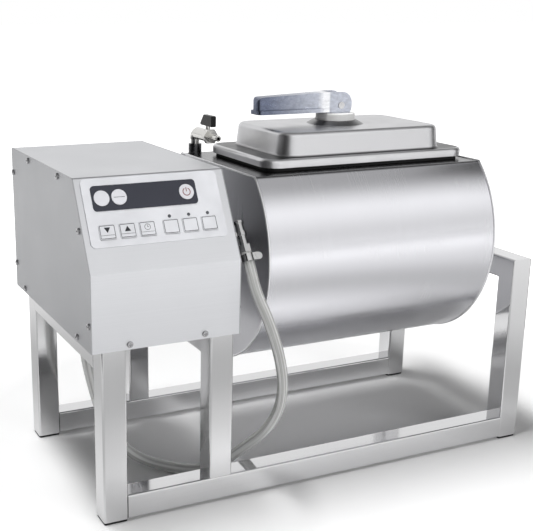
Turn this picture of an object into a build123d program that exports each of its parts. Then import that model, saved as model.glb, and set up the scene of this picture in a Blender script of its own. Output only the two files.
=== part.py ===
from build123d import *
import os
from math import atan2, cos, pi, radians, sin, tan

os.makedirs("parts", exist_ok=True)

# Tabletop vacuum tumbler for marinating meat. A stainless tube frame carries a sheet metal
# housing at its left end and a D-shaped drum that turns about the X axis. The origin is at
# the middle of the object's footprint, on the surface that it stands on, with Z up.

# Driving dimensions in millimetres
# Frame of welded square tube
tube_size = 30.0
tube_wall = 1.5
tube_corner = 2.5
frame_length = 617.0
frame_width = 297.0
low_frame_height = 213.0
arch_height = 257.0
mid_post_inset = 135.5
foot_height = 3.0
foot_inset = 1.0

# Housing of folded sheet
housing_height = 188.0
housing_overhang = 13.5
housing_reach = 5.0
housing_lap = 5.75
slant_start = 89.5
slant_setback = 54.0
sheet = 1.2
bend_radius = 3.0
flange_width = 13.0
base_sheet = 1.5
tray_height = 14.0
tray_clearance = 0.3
vent_length = 26.0
vent_width = 3.0
vent_pitch = 8.0
vent_count = 7
vent_height = 105.0

# Panel screws
screw_radius = 2.0
screw_length = 7.0
screw_head_radius = 3.8
screw_head_height = 2.2
screw_crown = 1.2
screw_clearance = 0.2
screw_inset = 6.0
recess_length = 4.2
recess_width = 0.9
recess_depth = 1.1
top_screw_front = 53.25
top_screw_back = 79.25
back_screw_high = 32.0
back_screw_low = 33.0
bottom_screw_front = 48.25
bottom_screw_back = 42.25
front_screw_rise = 31.0
front_screw_spacing = 93.0

# Control panel on the slanted face
overlay_width = 165.6
overlay_height = 80.0
overlay_shift = -1.3
overlay_thickness = 1.2
overlay_corner = 6.0
overlay_rise = 13.9
window_width = 127.0
window_height = 29.6
window_thickness = 0.4
window_corner = 4.5
window_shift = -10.7
window_rise = 16.3
round_key_radius = 9.0
round_key_places = (-62.6, -42.0, 40.2)
square_key_width = 19.0
square_key_height = 16.7
square_key_corner = 1.5
square_key_drop = 22.8
square_key_pitch = 23.8
square_group_places = (-39.1, 37.3)
key_gap = 0.3
key_rest_height = 0.5
key_proud = 0.6
led_radius = 2.0
led_height = 0.3
led_drop = 10.6
board_width = 140.0
board_height = 70.0
board_thickness = 1.6
standoff_length = 8.0
standoff_radius = 3.0
relay_width = 30.0
relay_height = 24.0
relay_place = (-28.0, 6.0)
processor_width = 22.0
processor_height = 34.0
processor_place = (36.0, -4.0)
chip_thickness = 9.0

# Drive inside the housing
shaft_radius = 10.0
running_gap = 0.05
bracket_sheet = 3.0
bracket_width = 96.0
bracket_top = 44.0
bracket_length = 56.0
bracket_inset = 9.5
bearing_length = 16.0
bearing_hub_radius = 26.0
bearing_flange = 8.0
coupling_radius = 17.0
coupling_length = 32.0
spigot_radius = 7.0
spigot_length = 26.0
gearbox_radius = 40.0
gearbox_length = 38.0
motor_radius = 35.0
motor_length = 68.0
shaft_hole_gap = 6.0

# Vacuum pump
pump_radius = 29.0
pump_motor_length = 60.0
pump_head_length = 44.0
pump_head_height = 74.0
pump_back = 57.25
pump_inset = 14.0

# Power inlet at the back
inlet_width = 27.0
inlet_height = 31.0
inlet_depth = 22.0
inlet_flange_width = 34.0
inlet_flange_height = 50.0
inlet_flange = 2.2
inlet_inset = 34.0
inlet_rise = 42.0

# Drum with one flat side
drum_radius = 148.5
drum_wall = 1.5
drum_flat = 104.0
drum_edge = 8.0
drum_gap = 41.0
drum_tail_gap = 39.0
end_recess = 3.0
end_thickness = 2.0
weld_gap = 0.05
mouth_end_margin = 12.0
mouth_side_margin = 11.0
mouth_corner = 20.0
lip_height = 9.0
lip_wall = 1.5
hub_radius = 34.0
hub_thickness = 5.0
baffle_height = 22.0
baffle_thickness = 2.0
baffle_end_gap = 8.0
baffle_angles = (210.0, 270.0, 330.0)

# Tail bearing on the arch
bearing_height = 27.0
tail_block_width = 24.0
tail_block_length = 92.0
tail_foot_height = 9.0
tail_hub_radius = 23.0
tail_slot_radius = 4.5
tail_slot_place = 35.0

# Lid, pressed like an upturned pan
lid_left_margin = 28.5
lid_right_margin = 4.5
lid_width = 171.5
lid_corner = 22.0
lid_gap = 4.5
lid_sheet = 1.2
rim_height = 10.5
rim_roll = 4.0
flange_end = 28.75
flange_side = 9.75
dome_height = 30.0
dome_corner = 26.0
dome_taper = 7.0
dome_edge = 6.0
dome_foot = 3.5
boss_radius = 38.0
boss_top_radius = 28.0
boss_height = 5.5
gasket_inset = 5.0
gasket_width = 12.0

# Clamp: nylon saddle, stud, crossbar and cam lever
clamp_shift = -3.5
saddle_radius = 26.0
saddle_height = 9.3
saddle_edge = 1.5
saddle_slot_gap = 0.3
seat_gap = 0.3
stud_radius = 5.0
stud_nut_radius = 8.0
stud_nut_height = 6.0
stud_eye_radius = 8.0
pin_radius = 3.0
pin_rise = 10.0
pin_head_radius = 4.6
pin_head_height = 1.2
cam_reach = 17.5
cam_throw = 1.0
ear_inside = 24.0
lever_sheet = 2.0
ear_reach = 15.5
ear_top = 17.5
ear_flat = 1.5
lever_length = 122.0
lever_width = 19.0
lever_drop = 8.6
lever_tip_top = 13.0
lever_flare = 14.5
lever_proud = 0.6
lever_foot = 1.0
lever_foot_height = 5.0
lever_tip_corner = 8.0
lever_plan_corner = 7.0
crossbar_catch = 13.0
crossbar_width = 20.0
crossbar_thickness = 6.0

# Vacuum valve on the drum
valve_shift = 15.3
valve_depth = 97.0
socket_radius = 9.0
socket_height = 13.5
pipe_radius = 6.0
pipe_bore = 3.0
elbow_radius = 7.0
elbow_bend = 9.0
valve_rise = 28.8
body_radius = 8.2
body_length = 34.0
ball_radius = 5.2
stem_radius = 3.0
stem_place = 31.0
ball_gap = 0.3
ball_bore = 2.8
hex_width = 18.5
hex_length = 7.5
nozzle_radius = 4.0
nozzle_length = 22.0
nozzle_hex_width = 13.0
nozzle_hex_length = 4.0
nozzle_bore = 2.2
handle_front = 18.5
handle_back = 19.5
handle_slant = 12.0
handle_width = 7.0
handle_height = 14.5
handle_rise = 13.0
handle_corner = 2.0
handle_edge = 1.2

# Hose with its connector, clamp, clip and gland
hose_radius = 6.75
connector_hex_width = 13.0
connector_hex_length = 9.0
connector_radius = 5.3
connector_bore = 4.1
connector_length = 39.5
connector_collar = 6.8
connector_collar_length = 3.0
connector_front = 16.15
connector_rise = 92.6
clip_reach = 14.65
clip_place = 21.0
clip_length = 5.0
clip_wall = 1.2
clip_arm = 3.0
clip_foot = 16.0
clamp_start = 3.0
clamp_width = 9.0
clamp_wall = 1.0
clamp_gap = 0.1
clamp_screw_radius = 4.2
clamp_screw_length = 13.0
gland_radius = 10.0
gland_neck_radius = 7.8
gland_nut_height = 8.0
gland_bore = 4.0
gland_height = 10.0
gland_space = 12.65
gland_y = 46.0

# Free route of the hose, from the connector down to the floor and up to the gland
hose_route = [
    (-115.5, -138.1, 308.6),
    (-115.5, -151.2, 289.7),
    (-112.5, -160.5, 264.0),
    (-103.0, -174.0, 234.0),
    (-89.0, -177.0, 191.0),
    (-76.0, -166.0, 148.0),
    (-71.0, -151.0, 110.0),
    (-78.0, -132.0, 74.0),
    (-92.0, -104.0, 44.0),
    (-118.0, -88.0, 18.0),
    (-149.0, -75.0, 7.8),
    (-175.0, -53.0, 7.6),
    (-200.0, -30.0, 10.5),
    (-222.0, -10.0, 24.0),
    (-238.0, 4.0, 48.0),
    (-249.0, 16.0, 80.0),
    (-255.0, 28.0, 115.0),
    (-258.0, 39.0, 148.0),
    (-258.0, 46.0, 178.0),
    (-258.0, 46.0, 206.0),
]

# Places that follow from the sizes above
overall_length = frame_length + housing_overhang + screw_head_height
frame_left = -overall_length / 2 + screw_head_height + housing_overhang
frame_right = frame_left + frame_length
frame_bottom = foot_height
rail_top = frame_bottom + tube_size
low_top = frame_bottom + low_frame_height
arch_top = frame_bottom + arch_height
left_post_x = frame_left + tube_size / 2
mid_post_x = frame_left + mid_post_inset + tube_size / 2
right_post_x = frame_right - tube_size / 2
post_y = (frame_width - tube_size) / 2
axis_z = arch_top + bearing_height

housing_length = housing_overhang + mid_post_inset + tube_size + housing_reach
housing_depth = frame_width + 2 * housing_lap
housing_left = frame_left - housing_overhang
housing_right = housing_left + housing_length
housing_x = (housing_left + housing_right) / 2
housing_top = low_top + housing_height
slant_rise = housing_height - slant_start
slant_angle = atan2(slant_setback, slant_rise)
tray_top = low_top + base_sheet

drum_left = housing_right + drum_gap
drum_right = frame_right - tube_size - drum_tail_gap
drum_length = drum_right - drum_left
drum_x = (drum_left + drum_right) / 2
flat_z = axis_z + drum_flat
flat_under = flat_z - drum_wall
left_end_x = drum_left + end_recess
right_end_x = drum_right - end_recess

lid_x = drum_x + (lid_left_margin - lid_right_margin) / 2
lid_length = drum_length - lid_left_margin - lid_right_margin
dome_length = lid_length - 2 * flange_end
dome_width = lid_width - 2 * flange_side
mouth_length = dome_length - 2 * mouth_end_margin
mouth_width = dome_width - 2 * mouth_side_margin
rim_bottom = flat_z + lid_gap
rim_top = rim_bottom + rim_height
dome_top = rim_top + dome_height
boss_top = dome_top + boss_height
clamp_x = lid_x + clamp_shift
saddle_top = boss_top + saddle_height
pin_z = saddle_top + pin_rise
slot_floor = pin_z - cam_reach - seat_gap
ear_outside = ear_inside + 2 * lever_sheet
crossbar_length = mouth_width + 2 * crossbar_catch
crossbar_top = flat_under - seat_gap
crossbar_bottom = crossbar_top - crossbar_thickness

slant_plane = Plane(
    origin=(
        housing_x,
        -housing_depth / 2 + slant_setback / 2,
        low_top + slant_start + slant_rise / 2,
    ),
    x_dir=(1, 0, 0),
    z_dir=(0, -cos(slant_angle), sin(slant_angle)),
)
slant_up = Vector(0, sin(slant_angle), cos(slant_angle))
overlay_plane = Plane(
    origin=slant_plane.origin + slant_up * overlay_rise,
    x_dir=(1, 0, 0),
    z_dir=slant_plane.z_dir,
)


def tube_section():
    """Draw the hollow section of the frame tube."""
    RectangleRounded(tube_size, tube_size, tube_corner)
    inner = tube_size - 2 * tube_wall
    RectangleRounded(inner, inner, tube_corner - tube_wall, mode=Mode.SUBTRACT)


# Frame rails along X, front and back
for side, y in (("front", -post_y), ("back", post_y)):
    with BuildPart() as bottom_rail:
        with BuildSketch(
            Plane(
                origin=(frame_left + tube_size, y, frame_bottom + tube_size / 2),
                x_dir=(0, 1, 0),
                z_dir=(1, 0, 0),
            )
        ):
            tube_section()
        extrude(amount=frame_length - 2 * tube_size)
    bottom_rail.part.label = f"{side}_bottom_rail"
    export_step(bottom_rail.part, f"parts/{side}_bottom_rail.step")

# Left posts stand on the feet, and mid posts on the rails
for side, y in (("front", -post_y), ("back", post_y)):
    for place, x, bottom in (
        ("left", left_post_x, frame_bottom),
        ("mid", mid_post_x, rail_top),
    ):
        with BuildPart() as post:
            with BuildSketch(Plane(origin=(x, y, bottom))):
                tube_section()
            extrude(amount=low_top - bottom)
        post.part.label = f"{side}_{place}_post"
        export_step(post.part, f"parts/{side}_{place}_post.step")

# Right posts are mitred into the top of the arch
for side, sign in (("front", 1), ("back", -1)):
    mitre = Plane(
        origin=(right_post_x, -sign * frame_width / 2, arch_top),
        x_dir=(1, 0, 0),
        z_dir=(0, sign, 1),
    )
    with BuildPart() as right_post:
        with BuildSketch(Plane(origin=(right_post_x, -sign * post_y, frame_bottom))):
            tube_section()
        extrude(amount=arch_height)
        split(bisect_by=mitre, keep=Keep.BOTTOM)
    right_post.part.label = f"{side}_right_post"
    export_step(right_post.part, f"parts/{side}_right_post.step")

# Rails along Y under the housing
for place, x in (("left", left_post_x), ("mid", mid_post_x)):
    with BuildPart() as top_rail:
        with BuildSketch(
            Plane(
                origin=(x, -post_y + tube_size / 2, low_top - tube_size / 2),
                x_dir=(1, 0, 0),
                z_dir=(0, 1, 0),
            )
        ):
            tube_section()
        extrude(amount=frame_width - 2 * tube_size)
    top_rail.part.label = f"{place}_top_rail"
    export_step(top_rail.part, f"parts/{place}_top_rail.step")

# Top of the arch, mitred at both ends
with BuildPart() as right_top_rail:
    with BuildSketch(
        Plane(
            origin=(right_post_x, -frame_width / 2, arch_top - tube_size / 2),
            x_dir=(1, 0, 0),
            z_dir=(0, 1, 0),
        )
    ):
        tube_section()
    extrude(amount=frame_width)
    for sign in (1, -1):
        split(
            bisect_by=Plane(
                origin=(right_post_x, -sign * frame_width / 2, arch_top),
                x_dir=(1, 0, 0),
                z_dir=(0, sign, 1),
            ),
            keep=Keep.TOP,
        )
right_top_rail.part.label = "right_top_rail"
export_step(right_top_rail.part, "parts/right_top_rail.step")

# Foot pads under the four corner posts
with BuildPart() as foot_pads:
    with BuildSketch():
        foot_side = tube_size - 2 * foot_inset
        with Locations(
            (left_post_x, -post_y),
            (left_post_x, post_y),
            (right_post_x, -post_y),
            (right_post_x, post_y),
        ):
            RectangleRounded(foot_side, foot_side, tube_corner)
    extrude(amount=foot_height)
foot_pads.part.label = "foot_pads"
export_step(foot_pads.part, "parts/foot_pads.step")


def housing_outline(inset=0.0):
    """Draw the housing's side outline, inset all round but for its open bottom."""
    with BuildLine() as outline:
        Polyline(
            (-housing_depth / 2, low_top - inset),
            (-housing_depth / 2, low_top + slant_start),
            (-housing_depth / 2 + slant_setback, housing_top),
            (housing_depth / 2, housing_top),
            (housing_depth / 2, low_top - inset),
            close=True,
        )
    make_face(outline.edges())
    fillet(vertices().filter_by(lambda v: v.Y > low_top + 1), bend_radius)
    if inset:
        offset(amount=-inset, kind=Kind.INTERSECTION)


# Screw places on the housing, as distances along Y and up Z
top_row = housing_top - screw_inset
bottom_row = low_top + screw_inset
front_column = -housing_depth / 2 + screw_inset
back_column = housing_depth / 2 - screw_inset
slant_screw_share = 0.44
slant_column = -housing_depth / 2 + slant_setback * slant_screw_share + screw_inset * 1.6
right_screw_places = [
    (housing_depth / 2 - top_screw_back, top_row),
    (-housing_depth / 2 + slant_setback + top_screw_front, top_row),
    (back_column, housing_top - back_screw_high),
    (back_column, low_top + back_screw_low),
    (housing_depth / 2 - bottom_screw_back, bottom_row),
    (-housing_depth / 2 + bottom_screw_front, bottom_row),
    (front_column, low_top + front_screw_rise),
]
slant_screw_place = (slant_column, low_top + slant_start + slant_rise * slant_screw_share)
left_screw_places = right_screw_places + [slant_screw_place]
front_screw_places = [housing_x - front_screw_spacing / 2, housing_x + front_screw_spacing / 2]


def side_screw_holes(x, places, depth):
    """Drill the screw holes of one side panel through a piece."""
    with BuildSketch(Plane.YZ.offset(x)) as holes:
        with Locations(*places):
            Circle(screw_radius + screw_clearance)
    extrude(holes.sketch, amount=depth, mode=Mode.SUBTRACT)


def front_screw_holes():
    """Drill the two screw holes low in the front through a piece."""
    with BuildSketch(Plane.XZ.offset(housing_depth / 2 + 1)) as holes:
        with Locations(*[(x, bottom_row) for x in front_screw_places]):
            Circle(screw_radius + screw_clearance)
    extrude(holes.sketch, amount=-(screw_length + 2), mode=Mode.SUBTRACT)


# Cover, folded from one sheet: front, slanted panel, top and back, with inward flanges
cover_left = housing_left + sheet
cover_right = housing_right - sheet
inlet_x = housing_right - inlet_inset
inlet_z = low_top + inlet_rise
with BuildPart() as housing_cover:
    with BuildSketch(Plane.YZ.offset(cover_left)):
        housing_outline()
    extrude(amount=cover_right - cover_left)
    with BuildSketch(Plane.YZ.offset(cover_left + sheet)):
        housing_outline(sheet)
    extrude(amount=cover_right - cover_left - 2 * sheet, mode=Mode.SUBTRACT)
    with BuildSketch(Plane.YZ.offset(cover_left)):
        housing_outline(flange_width)
    extrude(amount=cover_right - cover_left, mode=Mode.SUBTRACT)
    side_screw_holes(cover_left, left_screw_places, sheet)
    side_screw_holes(cover_right - sheet, right_screw_places, sheet)
    front_screw_holes()
    with BuildSketch(Plane.XZ.offset(-housing_depth / 2)):
        with Locations((inlet_x, inlet_z)):
            Rectangle(inlet_width + key_gap, inlet_height + key_gap)
        vent_z = low_top + vent_height
        with Locations((housing_x, vent_z)):
            with GridLocations(vent_length * 1.6, vent_pitch, 2, vent_count):
                SlotOverall(vent_length, vent_width)
    extrude(amount=2 * sheet, mode=Mode.SUBTRACT)
housing_cover.part.label = "housing_cover"
export_step(housing_cover.part, "parts/housing_cover.step")

# Flat side panels
with BuildPart() as left_side_panel:
    with BuildSketch(Plane.YZ.offset(housing_left)):
        housing_outline()
    extrude(amount=sheet)
    side_screw_holes(housing_left, left_screw_places, sheet)
left_side_panel.part.label = "left_side_panel"
export_step(left_side_panel.part, "parts/left_side_panel.step")

with BuildPart() as right_side_panel:
    with BuildSketch(Plane.YZ.offset(cover_right)):
        housing_outline()
        with Locations((0, axis_z)):
            Circle(shaft_radius + shaft_hole_gap, mode=Mode.SUBTRACT)
    extrude(amount=sheet)
    side_screw_holes(cover_right, right_screw_places, sheet)
right_side_panel.part.label = "right_side_panel"
export_step(right_side_panel.part, "parts/right_side_panel.step")

# Base tray that stands on the frame and closes the housing
tray_left = cover_left + sheet + tray_clearance
tray_right = cover_right - sheet - tray_clearance
tray_depth = housing_depth - 2 * (sheet + tray_clearance)
gland_x = left_post_x + tube_size / 2 + gland_space
gland_bottom = low_top - gland_height
with BuildPart() as base_tray:
    with BuildSketch(Plane.XY.offset(low_top)):
        with Locations((housing_x, 0)):
            Rectangle(tray_right - tray_left, tray_depth)
    extrude(amount=tray_height)
    with BuildSketch(Plane.XY.offset(tray_top)):
        with Locations((housing_x, 0)):
            Rectangle(tray_right - tray_left - 2 * base_sheet, tray_depth - 2 * base_sheet)
    extrude(amount=tray_height, mode=Mode.SUBTRACT)
    with BuildSketch(Plane.XY.offset(low_top)):
        with Locations((gland_x, gland_y)):
            Circle(gland_neck_radius + screw_clearance)
    extrude(amount=base_sheet, mode=Mode.SUBTRACT)
    side_screw_holes(tray_left, left_screw_places, base_sheet)
    side_screw_holes(tray_right - base_sheet, right_screw_places, base_sheet)
    front_screw_holes()
base_tray.part.label = "base_tray"
export_step(base_tray.part, "parts/base_tray.step")


def cross_recess():
    """Draw a screw's cross recess."""
    Rectangle(recess_length, recess_width)
    Rectangle(recess_width, recess_length)


# Pan head screws of the side panels and the front
head_face = screw_head_height - recess_depth
with BuildPart() as panel_screws:
    for x, places, way in (
        (housing_left, left_screw_places, -1),
        (housing_right, right_screw_places, 1),
    ):
        with BuildSketch(Plane.YZ.offset(x)):
            with Locations(*places):
                Circle(screw_head_radius)
        extrude(amount=way * screw_head_height)
        crowns = edges(Select.LAST).filter_by(GeomType.CIRCLE).sort_by(Axis.X)
        fillet(crowns.group_by(Axis.X)[0 if way < 0 else -1], screw_crown)
        with BuildSketch(Plane.YZ.offset(x)):
            with Locations(*places):
                Circle(screw_radius)
        extrude(amount=-way * screw_length)
        with BuildSketch(Plane.YZ.offset(x + way * head_face)):
            with Locations(*places):
                cross_recess()
        extrude(amount=way * screw_head_height, mode=Mode.SUBTRACT)
    with BuildSketch(Plane.XZ.offset(housing_depth / 2)):
        with Locations(*[(x, bottom_row) for x in front_screw_places]):
            Circle(screw_head_radius)
    extrude(amount=screw_head_height)
    fillet(edges(Select.LAST).filter_by(GeomType.CIRCLE).group_by(Axis.Y)[0], screw_crown)
    with BuildSketch(Plane.XZ.offset(housing_depth / 2)):
        with Locations(*[(x, bottom_row) for x in front_screw_places]):
            Circle(screw_radius)
    extrude(amount=-screw_length)
    with BuildSketch(Plane.XZ.offset(housing_depth / 2 + head_face)):
        with Locations(*[(x, bottom_row) for x in front_screw_places]):
            cross_recess()
    extrude(amount=screw_head_height, mode=Mode.SUBTRACT)
panel_screws.part.label = "panel_screws"
export_step(panel_screws.part, "parts/panel_screws.step")

# Control overlay with holes that the keys come through
round_key_centres = [(place, window_rise) for place in round_key_places]
square_key_centres = [
    (group + step * square_key_pitch, -square_key_drop)
    for group in square_group_places
    for step in (-1, 0, 1)
]
with BuildPart() as control_overlay:
    with BuildSketch(overlay_plane):
        with Locations((overlay_shift, 0)):
            RectangleRounded(overlay_width, overlay_height, overlay_corner)
        with Locations(*round_key_centres):
            Circle(round_key_radius + key_gap, mode=Mode.SUBTRACT)
        with Locations(*square_key_centres):
            RectangleRounded(
                square_key_width + 2 * key_gap,
                square_key_height + 2 * key_gap,
                square_key_corner + key_gap,
                mode=Mode.SUBTRACT,
            )
    extrude(amount=overlay_thickness)
control_overlay.part.label = "control_overlay"
export_step(control_overlay.part, "parts/control_overlay.step")

# Dark display window on the overlay
with BuildPart() as display_window:
    with BuildSketch(overlay_plane.offset(overlay_thickness)):
        with Locations((window_shift, window_rise)):
            RectangleRounded(window_width, window_height, window_corner)
        with Locations(*round_key_centres):
            Circle(round_key_radius + key_gap, mode=Mode.SUBTRACT)
    extrude(amount=window_thickness)
display_window.part.label = "display_window"
export_step(display_window.part, "parts/display_window.step")

# Round keys in the window
round_key_top = overlay_thickness + window_thickness + key_proud
round_key_names = ("left_round_key", "middle_round_key", "power_key")
for name, centre in zip(round_key_names, round_key_centres):
    with BuildPart() as round_key:
        with BuildSketch(overlay_plane.offset(key_rest_height)):
            with Locations(centre):
                Circle(round_key_radius)
        extrude(amount=round_key_top - key_rest_height)
    round_key.part.label = name
    export_step(round_key.part, f"parts/{name}.step")

# Square keys in two groups of three
square_key_top = overlay_thickness + key_proud
square_key_names = (
    "down_key",
    "up_key",
    "timer_key",
    "first_mode_key",
    "second_mode_key",
    "third_mode_key",
)
for name, centre in zip(square_key_names, square_key_centres):
    with BuildPart() as square_key:
        with BuildSketch(overlay_plane.offset(key_rest_height)):
            with Locations(centre):
                RectangleRounded(square_key_width, square_key_height, square_key_corner)
        extrude(amount=square_key_top - key_rest_height)
    square_key.part.label = name
    export_step(square_key.part, f"parts/{name}.step")

# Indicator lamps above the three mode keys
with BuildPart() as indicator_lamps:
    with BuildSketch(overlay_plane.offset(overlay_thickness)):
        with Locations(*[(x, -led_drop) for x, y in square_key_centres[3:]]):
            Circle(led_radius)
    extrude(amount=led_height)
indicator_lamps.part.label = "indicator_lamps"
export_step(indicator_lamps.part, "parts/indicator_lamps.step")

# Control board on standoffs behind the slanted panel
board_back = -(sheet + standoff_length)
with BuildPart() as control_board:
    with BuildSketch(slant_plane.offset(board_back)):
        Rectangle(board_width, board_height)
    extrude(amount=-board_thickness)
    with BuildSketch(slant_plane.offset(board_back)):
        with GridLocations(board_width - 12, board_height - 12, 2, 2):
            Circle(standoff_radius)
    extrude(amount=standoff_length)
    with BuildSketch(slant_plane.offset(board_back - board_thickness)):
        with Locations(relay_place):
            Rectangle(relay_width, relay_height)
        with Locations(processor_place):
            Rectangle(processor_width, processor_height)
    extrude(amount=-chip_thickness)
control_board.part.label = "control_board"
export_step(control_board.part, "parts/control_board.step")

# Bracket on the base tray: one upright carries the gear motor, the other the bearing
bracket_right = tray_right - bracket_inset
bracket_left = bracket_right - bracket_length
bracket_height = axis_z + bracket_top - tray_top


def bracket_upright(x):
    """Add an upright plate with a rounded top, facing along X."""
    with BuildSketch(Plane.YZ.offset(x)) as upright:
        with Locations((0, tray_top + bracket_height / 2)):
            Rectangle(bracket_width, bracket_height)
        fillet(vertices().group_by(Axis.Y)[-1], bracket_width / 3)
        with Locations((0, axis_z)):
            Circle(coupling_radius + 2, mode=Mode.SUBTRACT)
    extrude(upright.sketch, amount=bracket_sheet)


with BuildPart() as drive_bracket:
    with BuildSketch(Plane.XY.offset(tray_top)):
        with Locations(((bracket_left + bracket_right) / 2, 0)):
            Rectangle(bracket_length, bracket_width)
    extrude(amount=bracket_sheet)
    bracket_upright(bracket_left)
    bracket_upright(bracket_right - bracket_sheet)
drive_bracket.part.label = "drive_bracket"
export_step(drive_bracket.part, "parts/drive_bracket.step")

# Flange bearing on the bracket's right upright
bearing_face = bracket_right - bracket_sheet
with BuildPart() as drive_bearing:
    with BuildSketch(Plane.YZ.offset(bearing_face)):
        with Locations((0, axis_z)):
            SlotOverall(bracket_width - 14, 2 * bearing_hub_radius)
    extrude(amount=-bearing_flange)
    with BuildSketch(Plane.YZ.offset(bearing_face)):
        with Locations((0, axis_z)):
            Circle(bearing_hub_radius)
    extrude(amount=-bearing_length)
    with BuildSketch(Plane.YZ.offset(bearing_face)):
        with Locations((0, axis_z)):
            Circle(shaft_radius + running_gap)
    extrude(amount=-bearing_length, mode=Mode.SUBTRACT)
    fillet(edges().filter_by(GeomType.CIRCLE).group_by(Axis.X)[0].sort_by(SortBy.RADIUS)[-1], 3)
drive_bearing.part.label = "drive_bearing"
export_step(drive_bearing.part, "parts/drive_bearing.step")

# Gear motor on the bracket's left upright, its axis on the drum's
with BuildPart() as gear_motor:
    with BuildSketch(Plane.YZ.offset(bracket_left)):
        with Locations((0, axis_z)):
            Circle(gearbox_radius)
    extrude(amount=-gearbox_length)
    with BuildSketch(Plane.YZ.offset(bracket_left - gearbox_length)):
        with Locations((0, axis_z)):
            Circle(motor_radius)
    extrude(amount=-motor_length)
    fillet(edges().filter_by(GeomType.CIRCLE).group_by(Axis.X)[0], 5)
    with BuildSketch(Plane.YZ.offset(bracket_left)):
        with Locations((0, axis_z)):
            Circle(spigot_radius + running_gap)
    extrude(amount=-spigot_length, mode=Mode.SUBTRACT)
gear_motor.part.label = "gear_motor"
export_step(gear_motor.part, "parts/gear_motor.step")

# Coupling between the gear motor and the drum's shaft, with its spigot in the gearbox
coupling_left = bracket_left + bracket_sheet / 3
coupling_right = coupling_left + coupling_length
with BuildPart() as shaft_coupling:
    with BuildSketch(Plane.YZ.offset(coupling_left)):
        with Locations((0, axis_z)):
            Circle(coupling_radius)
    extrude(amount=coupling_length)
    chamfer(edges().filter_by(GeomType.CIRCLE), 1.0)
    with BuildSketch(Plane.YZ.offset(coupling_left)):
        with Locations((0, axis_z)):
            Circle(spigot_radius)
    extrude(amount=-(spigot_length - 2))
    with BuildSketch(Plane.YZ.offset(coupling_right)):
        with Locations((0, axis_z)):
            Circle(shaft_radius + running_gap)
    extrude(amount=-coupling_length * 0.6, mode=Mode.SUBTRACT)
shaft_coupling.part.label = "shaft_coupling"
export_step(shaft_coupling.part, "parts/shaft_coupling.step")

# Vacuum pump on the tray behind the motor
pump_left = tray_left + base_sheet + pump_inset
pump_y = housing_depth / 2 - pump_back
pump_z = tray_top + pump_head_height / 2
with BuildPart() as vacuum_pump:
    with BuildSketch(Plane.YZ.offset(pump_left)):
        with Locations((pump_y, pump_z)):
            RectangleRounded(2 * pump_radius, pump_head_height, 6)
    extrude(amount=pump_head_length)
    with BuildSketch(Plane.YZ.offset(pump_left + pump_head_length)):
        with Locations((pump_y, pump_z)):
            Circle(pump_radius)
    extrude(amount=pump_motor_length)
    with BuildSketch(Plane.XY.offset(tray_top)):
        with Locations((pump_left + pump_head_length + pump_motor_length / 2, pump_y)):
            Rectangle(pump_motor_length / 2, 2 * pump_radius * 0.8)
    extrude(amount=pump_head_height / 4)
    with BuildSketch(Plane.XZ.offset(-(pump_y - pump_radius))):
        with Locations((pump_left + pump_head_length / 2, tray_top + pump_head_height * 0.75)):
            Circle(nozzle_radius)
    extrude(amount=12)
vacuum_pump.part.label = "vacuum_pump"
export_step(vacuum_pump.part, "parts/vacuum_pump.step")

# Mains inlet in the back of the cover
back_face = housing_depth / 2
with BuildPart() as power_inlet:
    with BuildSketch(Plane.XZ.offset(-back_face)):
        with Locations((inlet_x, inlet_z)):
            RectangleRounded(inlet_flange_width, inlet_flange_height, 4)
    extrude(amount=-inlet_flange)
    with BuildSketch(Plane.XZ.offset(-back_face)):
        with Locations((inlet_x, inlet_z)):
            Rectangle(inlet_width, inlet_height)
    extrude(amount=inlet_depth)
    with BuildSketch(Plane.XZ.offset(-(back_face + inlet_flange))):
        with Locations((inlet_x, inlet_z)):
            RectangleRounded(inlet_width - 5, inlet_height - 14, 3)
    extrude(amount=inlet_depth, mode=Mode.SUBTRACT)
    with BuildSketch(Plane.XZ.offset(-(back_face - inlet_depth))):
        with Locations((inlet_x, inlet_z)):
            with GridLocations(7, 1, 3, 1):
                Rectangle(2, 4)
    extrude(amount=-inlet_depth * 0.7)
power_inlet.part.label = "power_inlet"
export_step(power_inlet.part, "parts/power_inlet.step")


def drum_outline(inset=0.0):
    """Draw the drum's section: a circle with one flat side, inset all round."""
    with Locations((0, axis_z)):
        Circle(drum_radius - inset)
    with Locations((0, flat_z - inset + drum_radius)):
        Rectangle(2 * drum_radius, 2 * drum_radius, mode=Mode.SUBTRACT)
    corners = vertices().filter_by(lambda v: abs(v.Y - (flat_z - inset)) < 0.01)
    fillet(corners.sort_by(Axis.X)[0], drum_edge - inset)
    corners = vertices().filter_by(lambda v: abs(v.Y - (flat_z - inset)) < 0.01)
    fillet(corners.sort_by(Axis.X)[-1], drum_edge - inset)


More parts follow.
